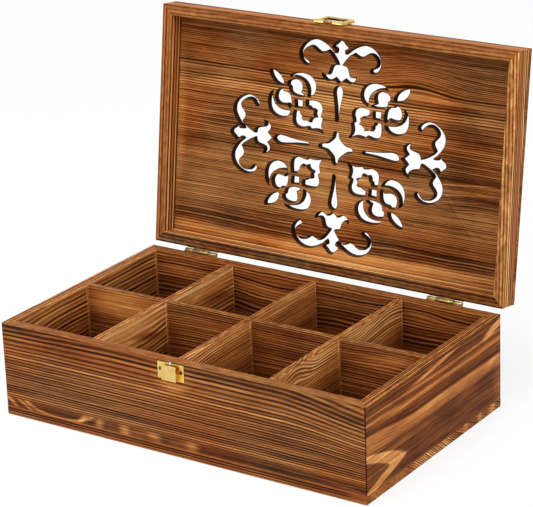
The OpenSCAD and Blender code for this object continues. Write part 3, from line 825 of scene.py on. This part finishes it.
PANEL = Plank(
    Grain.LENGTHWISE_FLAT,
    rings=(
        (0, 0), (34, 14), (60, 31), (90, 55), (91, 57), (130, 80), (156, 91), (190, 113),
        (200, 118),
    ),
    tones=(
        (0, .44), (9, .46), (17, .5), (20.5, .26), (24, .26), (26, .46), (28, .22), (32, .28),
        (37, .38), (46, .44), (60, .44), (80, .4), (88.5, .36), (90.2, .02), (91.4, .28),
        (100, .38), (112, .41), (118, .38), (128, .38), (136, .42), (141, .5), (144, .34),
        (147, .2), (149, .5), (152.5, .52), (154.5, .14), (157, .36), (172, .36), (182, .37),
        (190, .35), (200, .36),
    ),
    contrast=((0, .32), (60, .26), (88, .34), (150, .36), (168, .26), (200, .28)),
    fill=.45, through=.42, sway=1.5, flip=100, gloss=.03, blotch=.34, haze=.34,
    patches=marks(
        (-110, 172, 66, 17, -.06), (118, 172, 60, 22, -.03),
        # Painted reflection: the pale band at -158, along the panel's left edge, stands in for
        # light thrown on it by the left rail.
        (-158, 100, 13, 120, .32, 0, 0, .3, .2), (-80, 141, 80, 5, .12),
        (0, 90.2, 175, .7, -.3, 0, 0, 0, .6), (0, 14, 175, 7, .1, 0, 0, .7, .3),
        (-130, 40, 40, 24, .1), (-120, 152, 60, 3, -.16), (10, 140, 60, 10, .08),
        (130, 126, 50, 12, -.12), (2, 100, 92, 140, .16), (118, 110, 40, 110, -.1),
        (140, 76, 52, 10, -.22, 4), (108, 86.5, 52, 1.1, .34, 6), (112, 79, 44, .9, .22, 6),
        (118, 74, 46, 1.0, .16, 6), (110, 28, 60, 5, -.18), (-30, 56, 90, 16, .05),
        (-110, 108, 50, 12, -.1), (-100, 26, 60, 3, -.14), (156, 110, 12, 44, -.14),
        (60, 150, 90, 3, .1), (112, 100, 26, 100, -.06),
    ),
    bends=marks(
        (70, 168, 60, 24, -6), (140, 78, 90, 22, -5), (-40, 24, 110, 16, 2), (10, 175, 50, 20, 4),
    ),
    seed=29.0,
)


def rail(grain: Grain, level: float, rim: Rim, seed: float, **more: object) -> Plank:
    """The grain of a lid rail.

    Args:
        grain: Which way it runs.
        level: Its brightness.
        rim: The edge that meets the box.
        seed: Makes it differ from the others.
        **more: Other fields of Plank.

    Returns:
        The plank.
    """
    fields: dict = dict(
        rings=((70, 0), (100, 14)),
        tones=((70, level), (77, level), (82, level - .08), (92, level + .04), (100, level)),
        contrast=.45, fill=.45, through=.35, sway=.8, rim=rim, seed=seed,
    )
    return Plank(grain, **(fields | more))


FRONT_RAIL = rail(
    Grain.LENGTHWISE_UPRIGHT, .6, Rim(77.2, -1, .4, .2, .4, .08), 32, contrast=.14,
)

BACK_RAIL = rail(
    Grain.LENGTHWISE_UPRIGHT, .6, Rim(77.2, -1, .27, .3, .5, .15), 35, contrast=.45, haze=.45,
    rings=((70, 0), (77, 3), (100, 9)),
    tones=((70, .6), (77, .64), (80, .58), (83, .42), (86, .4), (89, .66), (91, .98), (100, .98)),
    patches=marks(
        (15, 86, 80, 60, .28), (155, 86, 50, 60, -.14), (-100, 77, 50, 6, .12),
        (40, 77, 60, 6, .1),
    ),
)

LEFT_RAIL = rail(
    Grain.DEPTHWISE_UPRIGHT, .52, Rim(77.2, -1, .48, .3, .4, .1), 38, contrast=.7, haze=0,
    rings=((70, 0), (77, 3), (100, 8.5)),
    sway=.6,
    tones=((70, .55), (77, .56), (81, .56), (84, .54), (87, .54), (89, .7), (91, .8), (100, .8)),
    patches=marks((-20, 77, 24, 6, .08)),
)

RIGHT_RAIL = rail(
    Grain.DEPTHWISE_UPRIGHT, .56, Rim(77.2, -1, .54, .35, .9, .2), 41, tilt=-.055, contrast=.66,
    rings=((50, 0), (77, 9), (100, 17)),
    patches=marks((32, 77, 9, 2, .2), (-40, 77, 12, 2, .2), (-88, 77, 8, 2, .2)),
)


# ------------------------------------------------------------------ the workbench


@dataclass
class Workpiece:
    """A mesh being made, with the operators of edit mode on faces and edges picked in code."""

    obj: bpy.types.Object

    @staticmethod
    def clear_selection() -> None:
        """Leaves edit mode with nothing selected."""
        if bpy.context.object and bpy.context.object.mode != "OBJECT":
            bpy.ops.object.mode_set(mode="OBJECT")
        for obj in bpy.context.view_layer.objects:
            obj.select_set(False)

    @classmethod
    def block(cls, name: str, low: Vector, high: Vector) -> Workpiece:
        """A rectangular blank.

        Args:
            name: Its name.
            low: Its lowest corner, in millimetres.
            high: Its highest corner.

        Returns:
            The blank.
        """
        cls.clear_selection()
        bpy.ops.mesh.primitive_cube_add(
            size=1, location=(low + high) / 2 * MM, scale=(high - low) * MM)
        return cls._named(name)

    @classmethod
    def disc(cls, name: str, radius: float, low: float, high: float, sides: int = 32) -> Workpiece:
        """A round blank on the Z axis.

        Args:
            name: Its name.
            radius: Its radius, in millimetres.
            low: Its lower end.
            high: Its upper end.
            sides: Number of its facets.

        Returns:
            The blank.
        """
        cls.clear_selection()
        bpy.ops.mesh.primitive_cylinder_add(
            vertices=sides, radius=radius * MM, depth=(high - low) * MM,
            location=(0, 0, (low + high) / 2 * MM))
        return cls._named(name)

    @classmethod
    def _named(cls, name: str) -> Workpiece:
        """Names the new primitive and applies its place.

        Args:
            name: The name.

        Returns:
            The primitive.
        """
        obj = bpy.context.active_object
        obj.name = obj.data.name = name
        bpy.ops.object.transform_apply(location=True, rotation=True, scale=True)
        return cls(obj)

    @classmethod
    def cast(cls, name: str, node: bpy.types.Object, closed: Matrix | None = None) -> Workpiece:
        """A merged copy of a CAD node's mesh.

        Args:
            name: Name of the copy.
            node: The CAD node.
            closed: The pose to undo, so that the copy lies as when the lid is closed.

        Returns:
            The copy.
        """
        cls.clear_selection()
        mesh = node.data.copy()
        mesh.name = name
        mesh.materials.clear()
        if closed is not None:
            mesh.transform(closed.inverted())
        piece = cls(bpy.data.objects.new(name, mesh))
        bpy.context.scene.collection.objects.link(piece.obj)
        return piece.edit(lambda: bpy.ops.mesh.remove_doubles(threshold=0.002 * MM))

    def activate(self) -> None:
        """Selects only this piece."""
        self.clear_selection()
        self.obj.select_set(True)
        bpy.context.view_layer.objects.active = self.obj

    def edit(self, *steps: Callable[[], object], everything: bool = True) -> Workpiece:
        """Runs operators in edit mode.

        Args:
            *steps: The operators' calls.
            everything: Whether to select the whole mesh first, or keep what was picked.

        Returns:
            This piece.
        """
        self.activate()
        bpy.ops.object.mode_set(mode="EDIT")
        if everything:
            bpy.ops.mesh.select_all(action="SELECT")
        for step in steps:
            step()
        bpy.ops.object.mode_set(mode="OBJECT")
        return self

    def _pick_none(self, edges: bool) -> bpy.types.Mesh:
        """Deselects the whole mesh.

        Args:
            edges: Whether edges are picked next, or faces.

        Returns:
            The mesh.
        """
        self.activate()
        mesh = self.obj.data
        for part in (mesh.vertices, mesh.edges, mesh.polygons):
            part.foreach_set("select", [False] * len(part))
        bpy.context.tool_settings.mesh_select_mode = (False, edges, not edges)
        return mesh

    def pick_faces(self, wanted: Callable[[Vector, Vector], bool]) -> Workpiece:
        """Selects faces.

        Args:
            wanted: Takes a face's middle in millimetres and its normal.

        Returns:
            This piece.
        """
        for polygon in self._pick_none(edges=False).polygons:
            polygon.select = wanted(polygon.center / MM, polygon.normal)
        return self

    def pick_edges(self, wanted: Callable[[list[Vector]], bool]) -> Workpiece:
        """Selects edges.

        Args:
            wanted: Takes the normals of an edge's faces.

        Returns:
            This piece.
        """
        mesh = self._pick_none(edges=True)
        normals: dict = {}
        for polygon in mesh.polygons:
            for key in polygon.edge_keys:
                normals.setdefault(key, []).append(polygon.normal.copy())
        for edge in mesh.edges:
            edge.select = wanted(normals.get(edge.key, []))
        return self

    def cut(self, point: Vector, normal: Vector) -> Workpiece:
        """Saws off what lies beyond a plane through point, in millimetres."""
        return self.edit(lambda: bpy.ops.mesh.bisect(
            plane_co=point * MM, plane_no=normal, use_fill=True, clear_outer=True))

    def carve(self, tools: Iterable[Workpiece], operation: str = "DIFFERENCE") -> Workpiece:
        """Takes other pieces' shapes out of this one, or welds them on, and discards them.

        Args:
            tools: The other pieces.
            operation: The Boolean modifier's operation.

        Returns:
            This piece.
        """
        for tool in tools:
            self.activate()
            modifier = self.obj.modifiers.new("carve", "BOOLEAN")
            modifier.operation = operation
            modifier.solver = "EXACT"
            modifier.object = tool.obj
            bpy.ops.object.modifier_apply(modifier=modifier.name)
            bpy.data.objects.remove(tool.obj)
        return self

    def round_edges(
        self, width: float, segments: int = 2, sharp: Callable[[Vector], bool] | None = None,
        angle: float = 30.0,
    ) -> Workpiece:
        """Rounds the edges between faces that meet at an angle.

        Args:
            width: Width of the rounding.
            segments: Number of facets across it.
            sharp: Tells by its normal a face whose edges stay sharp.
            angle: Smallest angle between two faces, in degrees.

        Returns:
            This piece.
        """
        def wanted(normals: list[Vector]) -> bool:
            """Whether an edge between faces with these normals is rounded."""
            soft = len(normals) == 2 and not (sharp and any(sharp(n) for n in normals))
            return soft and normals[0].angle(normals[1], 0.0) > math.radians(angle)

        return self.pick_edges(wanted).edit(lambda: bpy.ops.mesh.bevel(
            offset=width * MM, segments=segments, profile=0.5, affect="EDGES",
            clamp_overlap=True), everything=False)

    def place(self, pose: Matrix) -> Workpiece:
        """Moves the mesh by a pose."""
        self.obj.data.transform(pose)
        return self

    def twin(self, name: str) -> Workpiece:
        """A copy with its own mesh.

        Args:
            name: Name of the copy.

        Returns:
            The copy.
        """
        obj = self.obj.copy()
        obj.data = self.obj.data.copy()
        obj.name = obj.data.name = name
        bpy.context.scene.collection.objects.link(obj)
        return Workpiece(obj)

    def join(self, other: Workpiece) -> None:
        """Takes another piece into this one.

        Args:
            other: The other piece.
        """
        self.activate()
        other.obj.select_set(True)
        bpy.ops.object.join()

    def finish(self, body: str, slot: str, material: bpy.types.Material, node: str) -> None:
        """Shades the piece and hands it to the frame.

        Args:
            body: The CAD body that it moves with.
            slot: The record's material slot; not used.
            material: Its material.
            node: The CAD node that it stands for.
        """
        self.activate()
        bpy.ops.object.shade_smooth_by_angle(angle=math.radians(35))
        self.obj.data.materials.clear()
        self.obj.data.materials.append(material)
        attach(self.obj, body)
        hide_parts(node)
        log.info("%s on %s for %s, %d faces", self.obj.name, body, node,
                 len(self.obj.data.polygons))


@dataclass
class Frame:
    """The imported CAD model: its nodes, and the poses that open it."""

    nodes: dict  # CAD objects by name
    open_pose: Matrix  # moves what is drawn closed to the open lid's place
    latched_pose: Matrix  # moves the hasp's loop from its latched place to its place at rest

    @classmethod
    def load(cls) -> Frame:
        """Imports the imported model.

        Returns:
            The frame.
        """
        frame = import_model()
        swings = []
        for name in ("lid_hinge", "loop_hinge"):
            hinge = next(j for j in frame["joints"] if j["name"] == name)
            axis = Vector(hinge["pos_m"])
            swing = Matrix.Rotation(-math.radians(hinge["range_deg"][1]), 4, "X")
            swings.append(Matrix.Translation(axis) @ swing @ Matrix.Translation(-axis))
        lid, loop = swings
        return cls(frame["nodes"], lid, loop @ lid)

    def span(self, node: str, pose: Matrix | None = None) -> tuple[Vector, Vector]:
        """Lowest and highest corners of a node.

        Args:
            node: The CAD node.
            pose: A pose that is undone before it is measured, or None.

        Returns:
            The corners, in millimetres.
        """
        back = pose.inverted() if pose else Matrix.Identity(4)
        points = [back @ v.co for v in self.nodes[node].data.vertices]
        low = Vector([min(p[i] for p in points) for i in range(3)])
        high = Vector([max(p[i] for p in points) for i in range(3)])
        return low / MM, high / MM


X_AXIS, Y_AXIS, Z_AXIS = Vector((1, 0, 0)), Vector((0, 1, 0)), Vector((0, 0, 1))
LEVEL_FACE = 0.9  # the Z part of its normal from which a face counts as level
UPRIGHT_FACE = 0.1  # the Z part up to which it counts as upright
NEAR = 0.05  # how close counts as touching


@dataclass
class MitredBoard:
    """One board of a rectangular frame, mitred at both ends."""

    frame: Frame
    name: str  # name of its CAD node
    outward: Vector  # the way its outer face looks when closed
    plank: Plank  # its grain
    body: str = "box"  # the CAD body that it belongs to
    rounding: float = 0.7  # width of its rounded edges
    corner: float = 0.35  # how far the outer corner is taken off at the mitre
    slant: float = 0.3  # how far a mitre's face leans each way at least, by which it is told

    def build(self) -> None:
        """Makes the board around its CAD node."""
        pose = self.frame.open_pose if self.body == "lid" else None
        low, high = self.frame.span(self.name, pose)
        along = Z_AXIS.cross(self.outward)
        piece = Workpiece.block(f"{self.name}_board", low, high)
        for end in (-along, along):
            corner = Vector([
                (high if end[i] + self.outward[i] > 0 else low)[i] for i in range(2)] + [0.0])
            piece.cut(corner, (end - self.outward).normalized())
            chamfer = (end + self.outward).normalized()
            piece.cut(corner - chamfer * self.corner, chamfer)
        piece.round_edges(
            self.rounding, 3,
            lambda n: abs(n.dot(along)) > self.slant and n.dot(self.outward) < -self.slant)
        material = self.plank.dress(f"{self.name}_pine", pose)
        if pose:
            piece.place(pose)
        piece.finish(self.body, "torched_pine", material, self.name)


@dataclass
class Case:
    """The box: four mitred walls on a bottom board."""

    frame: Frame
    rounding: float = 0.5  # width of the bottom board's rounded edges

    def build(self) -> None:
        """Makes the walls and the bottom board."""
        for name, outward, plank in (
            ("front_wall", -Y_AXIS, FRONT_WALL), ("back_wall", Y_AXIS, BACK_WALL),
            ("left_wall", -X_AXIS, LEFT_WALL), ("right_wall", X_AXIS, RIGHT_WALL),
        ):
            MitredBoard(self.frame, name, outward, plank).build()
        piece = Workpiece.block("bottom_board", *self.frame.span("bottom_panel"))
        piece.round_edges(self.rounding, 3)
        piece.finish("box", "torched_pine", BOTTOM.dress("bottom_pine"), "bottom_panel")


@dataclass
class Dividers:
    """One long divider and three cross dividers, halved into each other."""

    frame: Frame
    rounding: float = 0.4  # width of their rounded edges
    clearance: float = 0.1  # play in the halving slots
    overshoot: float = 5.0  # how far a slot's tool reaches past the board
    # grain of each cross divider
    crosses: dict[str, Plank] = field(default_factory=lambda: {
        "left": CROSS_LEFT, "middle": CROSS_MIDDLE, "right": CROSS_RIGHT})

    def build(self) -> None:
        """Makes all four dividers."""
        low, high = self.frame.span("long_divider")
        middle = (low.z + high.z) / 2
        more, play = self.overshoot, self.clearance
        tools = []
        for which, plank in self.crosses.items():
            node = f"cross_divider_{which}"
            c_low, c_high = self.frame.span(node)
            tools.append(Workpiece.block(
                "slot_tool", Vector((c_low.x - play, low.y - more, middle)),
                Vector((c_high.x + play, high.y + more, high.z + more))))
            piece = Workpiece.block(f"{node}_board", c_low, c_high)
            piece.carve([Workpiece.block(
                "slot_tool", Vector((c_low.x - more, low.y - play, low.z - more)),
                Vector((c_high.x + more, high.y + play, middle)))])
            piece.round_edges(self.rounding)
            piece.finish("box", "divider_pine", plank.dress(f"cross_{which}_pine"), node)
        piece = Workpiece.block("long_divider_board", low, high).carve(tools)
        piece.round_edges(self.rounding)
        piece.finish("box", "divider_pine", LONG_DIVIDER.dress("long_divider_pine"),
                     "long_divider")


@dataclass
class Lid:
    """The lid: four mitred rails and the pierced panel laid on them."""

    frame: Frame
    rounding: float = 0.6  # width of the rails' rounded edges
    arris: float = 0.2  # width of the panel's chamfered edges
    halo: float = 0.6  # width of the browned strip around each cut
    draft: float = 0.7  # how much narrower each side of a cut is at the outer face
    gap_share: float = 0.3  # the share of a cut's width that its draft takes at most
    border: float = 3.0  # how near the outer edge the panel isn't burnt
    edge: float = 1.0  # how near an outer edge or the outer face counts as on it

    def build(self) -> None:
        """Makes the rails and the panel."""
        for name, outward, plank in (
            ("lid_front_rail", -Y_AXIS, FRONT_RAIL), ("lid_back_rail", Y_AXIS, BACK_RAIL),
            ("lid_left_rail", -X_AXIS, LEFT_RAIL), ("lid_right_rail", X_AXIS, RIGHT_RAIL),
        ):
            MitredBoard(self.frame, name, outward, plank, "lid", self.rounding).build()
        self.panel()

    def panel(self) -> None:
        """Chamfers the panel's cuts and marks them as burnt."""
        pose = self.frame.open_pose
        low, high = self.frame.span("lid_panel", pose)
        piece = Workpiece.cast("pierced_panel", self.frame.nodes["lid_panel"], pose)
        plain: set[tuple] = set()
        for level, sink in ((low.z, self.arris * MM), (high.z, -self.arris * MM)):
            piece.pick_faces(lambda c, n, lv=level: abs(n.z) > LEVEL_FACE and abs(c.z - lv) < NEAR)
            piece.edit(
                lambda s=sink: bpy.ops.transform.translate(value=(0, 0, s)),
                lambda: bpy.ops.mesh.inset(
                    thickness=self.arris * MM, depth=self.arris * MM, use_even_offset=False),
                lambda: bpy.ops.mesh.inset(
                    thickness=self.halo * MM, depth=0, use_even_offset=False),
                everything=False)
            plain |= {tuple(v.co) for v in piece.obj.data.vertices if v.select}
        self.taper(piece, low, high)
        burn = piece.obj.data.attributes.new("burn", "FLOAT", "POINT")
        for vertex, value in zip(piece.obj.data.vertices, burn.data):
            cut = self._within(vertex.co / MM, low, high, self.border)
            value.value = float(cut and tuple(vertex.co) not in plain)
        material = PANEL.dress("panel_pine", pose, burnt=True)
        piece.place(pose).finish("lid", "pierced_panel", material, "lid_panel")

    @staticmethod
    def _within(place: Vector, low: Vector, high: Vector, margin: float) -> bool:
        """Whether a place is at least a margin in from the panel's outer edges."""
        return all(low[i] + margin <= place[i] <= high[i] - margin for i in (0, 1))

    def taper(self, piece: Workpiece, low: Vector, high: Vector) -> None:
        """Narrows the cuts towards the outer face, as a slanting cutter leaves them.

        Args:
            piece: The panel, as when the lid is closed.
            low: Its lowest corner, in millimetres.
            high: Its highest corner, in millimetres.
        """
        mesh = piece.obj.data
        tree = BVHTree.FromPolygons(
            [v.co / MM for v in mesh.vertices], [p.vertices for p in mesh.polygons])
        inward: dict[int, Vector] = {}
        for polygon in mesh.polygons:
            wall = abs(polygon.normal.z) < UPRIGHT_FACE
            if wall and self._within(polygon.center / MM, low, high, self.edge):
                for index in polygon.vertices:
                    inward[index] = inward.get(index, Vector()) + polygon.normal
        for index, normal in inward.items():
            vertex = mesh.vertices[index]
            if vertex.co.z / MM < high.z - self.edge:
                continue
            away = Vector((normal.x, normal.y, 0)).normalized()
            start = vertex.co / MM - Z_AXIS * (self.edge / 2) + away * NEAR
            gap = tree.ray_cast(start, away)[3] or self.draft
            vertex.co += away * (min(self.draft, self.gap_share * gap) * MM)


# ------------------------------------------------------------------ fittings


@dataclass(frozen=True)
class ScrewKind:
    """A slotted screw with a domed head."""

    head: float  # radius of the head
    rise: float  # height of the head
    shank: float  # radius of the shank
    length: float = 7.0  # length of the shank under the head
    wall: float = 0.4  # share of the rise that is the head's upright side
    # shares of the rest of the rise that each step of the dome takes
    dome: tuple[float, ...] = (0.62, 0.28, 0.1)
    step: float = 0.24  # how far in each step goes, as a share of the head's radius
    slot: float = 0.14  # half width of the slot, as a share of the head's radius
    floor: float = 0.5  # height of the slot's floor, as a share of the rise
    point: float = 0.8  # how far the shank narrows to its point, as a share of its radius

    def model(self) -> Workpiece:
        """Makes the screw on the Z axis with its head up from 0.

        Returns:
            The screw.
        """
        def inset(thickness: float, depth: float) -> Callable[[], object]:
            """An inset by a thickness and a depth, in millimetres, for edit mode."""
            return lambda: bpy.ops.mesh.inset(thickness=thickness * MM, depth=depth * MM)

        piece = Workpiece.disc("screw_master", self.head, 0, self.rise * self.wall)
        dome, width = self.rise * (1 - self.wall), self.head * self.step
        steps = [inset(width, dome * share) for share in self.dome]
        piece.pick_faces(lambda _c, n: n.z > LEVEL_FACE).edit(*steps, everything=False)
        half = self.slot * self.head
        piece.carve([Workpiece.block(
            "slot_tool", Vector((-self.head - 1, -half, self.rise * self.floor)),
            Vector((self.head + 1, half, self.rise + 1)))])
        shank = Workpiece.disc("shank", self.shank, -self.length, self.rise * 0.2, 20)
        point = inset(self.shank * self.point, self.shank)
        shank.pick_faces(lambda _c, n: n.z < -LEVEL_FACE).edit(point, everything=False)
        piece.join(shank)
        return piece


@dataclass
class ScrewRow:
    """Screws of one kind."""

    frame: Frame
    kind: ScrewKind  # their shape
    finish: bpy.types.Material  # their metal
    nodes: dict[str, float]  # their CAD nodes, each with the turn of its slot in degrees
    outward: Vector  # the way their heads look when the lid is closed
    body: str  # the CAD body that they belong to

    def build(self) -> None:
        """Makes the screws at their CAD nodes."""
        master = self.kind.model()
        lid = self.frame.open_pose if self.body == "lid" else None
        stand = Z_AXIS.rotation_difference(self.outward).to_matrix().to_4x4()
        for node, turn in self.nodes.items():
            low, high = self.frame.span(node, lid)
            middle = (low + high) / 2
            outer = high.y if self.outward.y > 0 else low.y
            seat = Vector((middle.x, outer - self.outward.y * self.kind.rise, middle.z))
            spin = Matrix.Rotation(math.radians(turn), 4, "Z")
            piece = master.twin(f"{node}_domed")
            piece.place(Matrix.Translation(seat * MM) @ stand @ spin)
            if lid:
                piece.place(lid)
            piece.finish(self.body, "steel_screw", self.finish, node)
        bpy.data.objects.remove(master.obj)


@dataclass
class Fittings:
    """The hinges, the catch and the hasp."""

    frame: Frame
    arris: float = 0.12  # width of the softened edges of the sheet brass
    collar_depth: float = 2.3  # depth of the border of the hasp's loop at its far end
    collar_neck: float = 1.3  # depth next to the knuckles
    collar_wall: float = 0.7  # thickness of the border
    collar_stop: float = 2.1  # how far below the top of the knuckles it ends
    hinge_screw: ScrewKind = ScrewKind(2.3, 1.3, 1.0)  # screws of the hinges
    ear_screw: ScrewKind = ScrewKind(1.5, 0.25, 0.7)  # screws at both ends of the catch's plate
    top_screw: ScrewKind = ScrewKind(1.3, 0.8, 0.7)  # screw above the catch's tongue
    hasp_screw: ScrewKind = ScrewKind(1.5, 1.0, 0.7)  # screws of the hasp's leaf

    def build(self) -> None:
        """Makes every fitting."""
        old, bright, steel, dull_shaded = (
            metal.dress() for metal in (HINGE_BRASS, BRIGHT_BRASS, STEEL, DARK_STEEL))
        for side in ("left", "right"):
            for part, body in (("box_leaf", "box"), ("pin", "box"), ("lid_leaf", "lid")):
                self.soften(f"hinge_{side}_{part}", body, old)
        self.soften("catch_plate", "box", PLATE_BRASS.dress())
        self.soften("catch_tongue", "box", BRASS.dress())
        self.soften("hasp_leaf", "lid", SHADED_BRASS.dress())
        self.soften("hasp_pin", "lid", bright)
        self.soften("hasp_loop", "loop", bright, [self.collar()])
        for body in ("box", "lid"):
            turns = {"left": (20, -35), "right": (65, 5)}
            nodes = {f"hinge_{side}_{body}_screw_{place}": turn for side, pair in turns.items()
                     for place, turn in zip(("inner", "outer"), pair)}
            ScrewRow(self.frame, self.hinge_screw, steel, nodes, Y_AXIS, body).build()
        for kind, finish, body, nodes in (
            (self.ear_screw, dull_shaded, "box", {"catch_screw_left": 70, "catch_screw_right": -15}),
            (self.top_screw, steel, "box", {"catch_screw_top": 8}),
            (self.hasp_screw, dull_shaded, "lid", {"hasp_screw_left": 30, "hasp_screw_right": -50}),
        ):
            ScrewRow(self.frame, kind, finish, nodes, -Y_AXIS, body).build()

    def collar(self) -> Workpiece:
        """Makes the turned border of the hasp's loop, which faces the rail when folded back.

        Returns:
            The border, in its place at rest.
        """
        low, high = self.frame.span("hasp_loop", self.frame.latched_pose)
        wall, middle = self.collar_wall, (low.y + high.y) / 2
        start = Vector((low.x, middle - self.collar_depth, low.z))
        end = Vector((high.x, middle, high.z - self.collar_stop))
        piece = Workpiece.block("collar", start, end)
        piece.carve([Workpiece.block(
            "hollow", start + Vector((wall, -1, wall)), end + Vector((-wall, 1, 1)))])
        slope = (self.collar_depth - self.collar_neck) / (end.z - start.z)
        piece.cut(start, Vector((0, -1, slope)).normalized())
        return piece.place(self.frame.latched_pose)

    def soften(
        self, node: str, body: str, material: bpy.types.Material,
        additions: Iterable[Workpiece] = (),
    ) -> None:
        """Copies a sheet brass node and takes the sharpness off its edges.

        Args:
            node: The CAD node.
            body: The CAD body that it belongs to.
            material: Its finish.
            additions: Shapes to weld on before the edges are softened.
        """
        piece = Workpiece.cast(f"{node}_brass", self.frame.nodes[node])
        piece.carve(additions, "UNION")
        piece.edit(lambda: bpy.ops.mesh.dissolve_limited(angle_limit=math.radians(1)))
        piece.round_edges(self.arris, angle=40)
        piece.finish(body, "brass_plate", material, node)


# ------------------------------------------------------------------ the studio

WHITE = (1.0, 1.0, 1.0, 1.0)


@dataclass(frozen=True)
class Lamp:
    """A soft square lamp. Lengths are metres."""

    name: str
    at: tuple[float, float, float]
    aim: tuple[float, float, float]  # the point that it is aimed at
    size: float  # length of its sides
    watts: float

    def hang(self) -> None:
        """Adds the lamp to the scene."""
        data = bpy.data.lights.new(self.name, "AREA")
        data.shape, data.size, data.energy = "SQUARE", self.size, self.watts
        lamp = bpy.data.objects.new(self.name, data)
        lamp.location = self.at
        way = Vector(self.aim) - Vector(self.at)
        lamp.rotation_euler = way.to_track_quat("-Z", "Y").to_euler()
        bpy.context.scene.collection.objects.link(lamp)


@dataclass
class Studio:
    """Floor, background, lamps and camera. Lengths here are metres."""

    camera_at: tuple = (0.970186, -1.395965, 0.755638)  # place of the camera
    camera_turn: tuple = (69.77505, 1.97664, 33.56978)  # turn about each axis, in degrees
    lens: float = 160.312  # focal length, in millimetres
    paper: tuple = (0.86, 0.86, 0.86, 1.0)  # colour of the floor
    floor_size: float = 14.0  # length of the floor's sides
    floor_drop: float = 0.0004  # how far the floor is below the box
    glow_share: float = 0.8  # how far the floor turns white where it is seen
    room_light: float = 0.64  # strength of the room's light on the object
    lamps: tuple[Lamp, ...] = (
        Lamp("key", (-0.9, -1.7, 1.9), (0, 0, 0.1), 1.3, 17),
        Lamp("fill", (1.9, -0.7, 1.2), (0, 0, 0.1), 1.4, 12),
        Lamp("overhead", (0.1, -0.5, 2.2), (0, 0, 0), 1.2, 30),
    )

    def build(self) -> None:
        """Sets up everything around the object."""
        self.floor()
        self.room()
        for lamp in self.lamps:
            lamp.hang()
        data = bpy.data.cameras.new("camera")
        data.lens = self.lens
        camera = bpy.data.objects.new("camera", data)
        camera.location = self.camera_at
        camera.rotation_euler = [math.radians(a) for a in self.camera_turn]
        bpy.context.scene.collection.objects.link(camera)
        bpy.context.scene.camera = camera
        bpy.context.scene.view_settings.view_transform = "Standard"

    @staticmethod
    def seen(g: Graph) -> Value:
        """Tells rays that show the background from rays that light the object.

        Args:
            g: The graph that asks.

        Returns:
            1 for rays from the camera, mirrored or let through, and 0 for others.
        """
        path = g.node("ShaderNodeLightPath", {}, {}).outputs
        kinds = ("Is Camera Ray", "Is Glossy Ray", "Is Transmission Ray")
        camera, glossy, through = (Value(g, path[kind]) for kind in kinds)
        return g.math("MAXIMUM", g.math("MAXIMUM", camera, glossy), through)

    def floor(self) -> None:
        """A pale floor that keeps the object's soft shadow."""
        Workpiece.clear_selection()
        bpy.ops.mesh.primitive_plane_add(size=self.floor_size, location=(0, 0, -self.floor_drop))
        floor = bpy.context.active_object
        floor.name = "floor"
        bpy.ops.object.transform_apply(location=True)
        g = Graph.material("paper_floor")
        paper = g.node("ShaderNodeBsdfDiffuse", {}, {"Color": self.paper}).outputs[0]
        white = g.node("ShaderNodeEmission", {}, {"Color": WHITE, "Strength": 1.0}).outputs[0]
        glow = self.seen(g) * self.glow_share
        mixed = g.node("ShaderNodeMixShader", {}, {0: glow, 1: paper, 2: white})
        floor.data.materials.append(g.end(mixed.outputs[0]))

    def room(self) -> None:
        """A white room: soft light, and pure white where it is seen."""
        g = Graph(bpy.data.worlds.new("room"))
        strength = self.seen(g) * (1 - self.room_light) + self.room_light
        light = g.node("ShaderNodeBackground", {}, {"Color": WHITE, "Strength": strength})
        bpy.context.scene.world = g.end(light.outputs[0], "World")


def main() -> None:
    logging.basicConfig(level=logging.INFO, format="%(name)s: %(message)s")
    frame = Frame.load()
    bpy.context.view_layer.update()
    for assembly in (Case, Dividers, Lid, Fittings):
        assembly(frame).build()
    Studio().build()


if __name__ == "__main__":
    main()
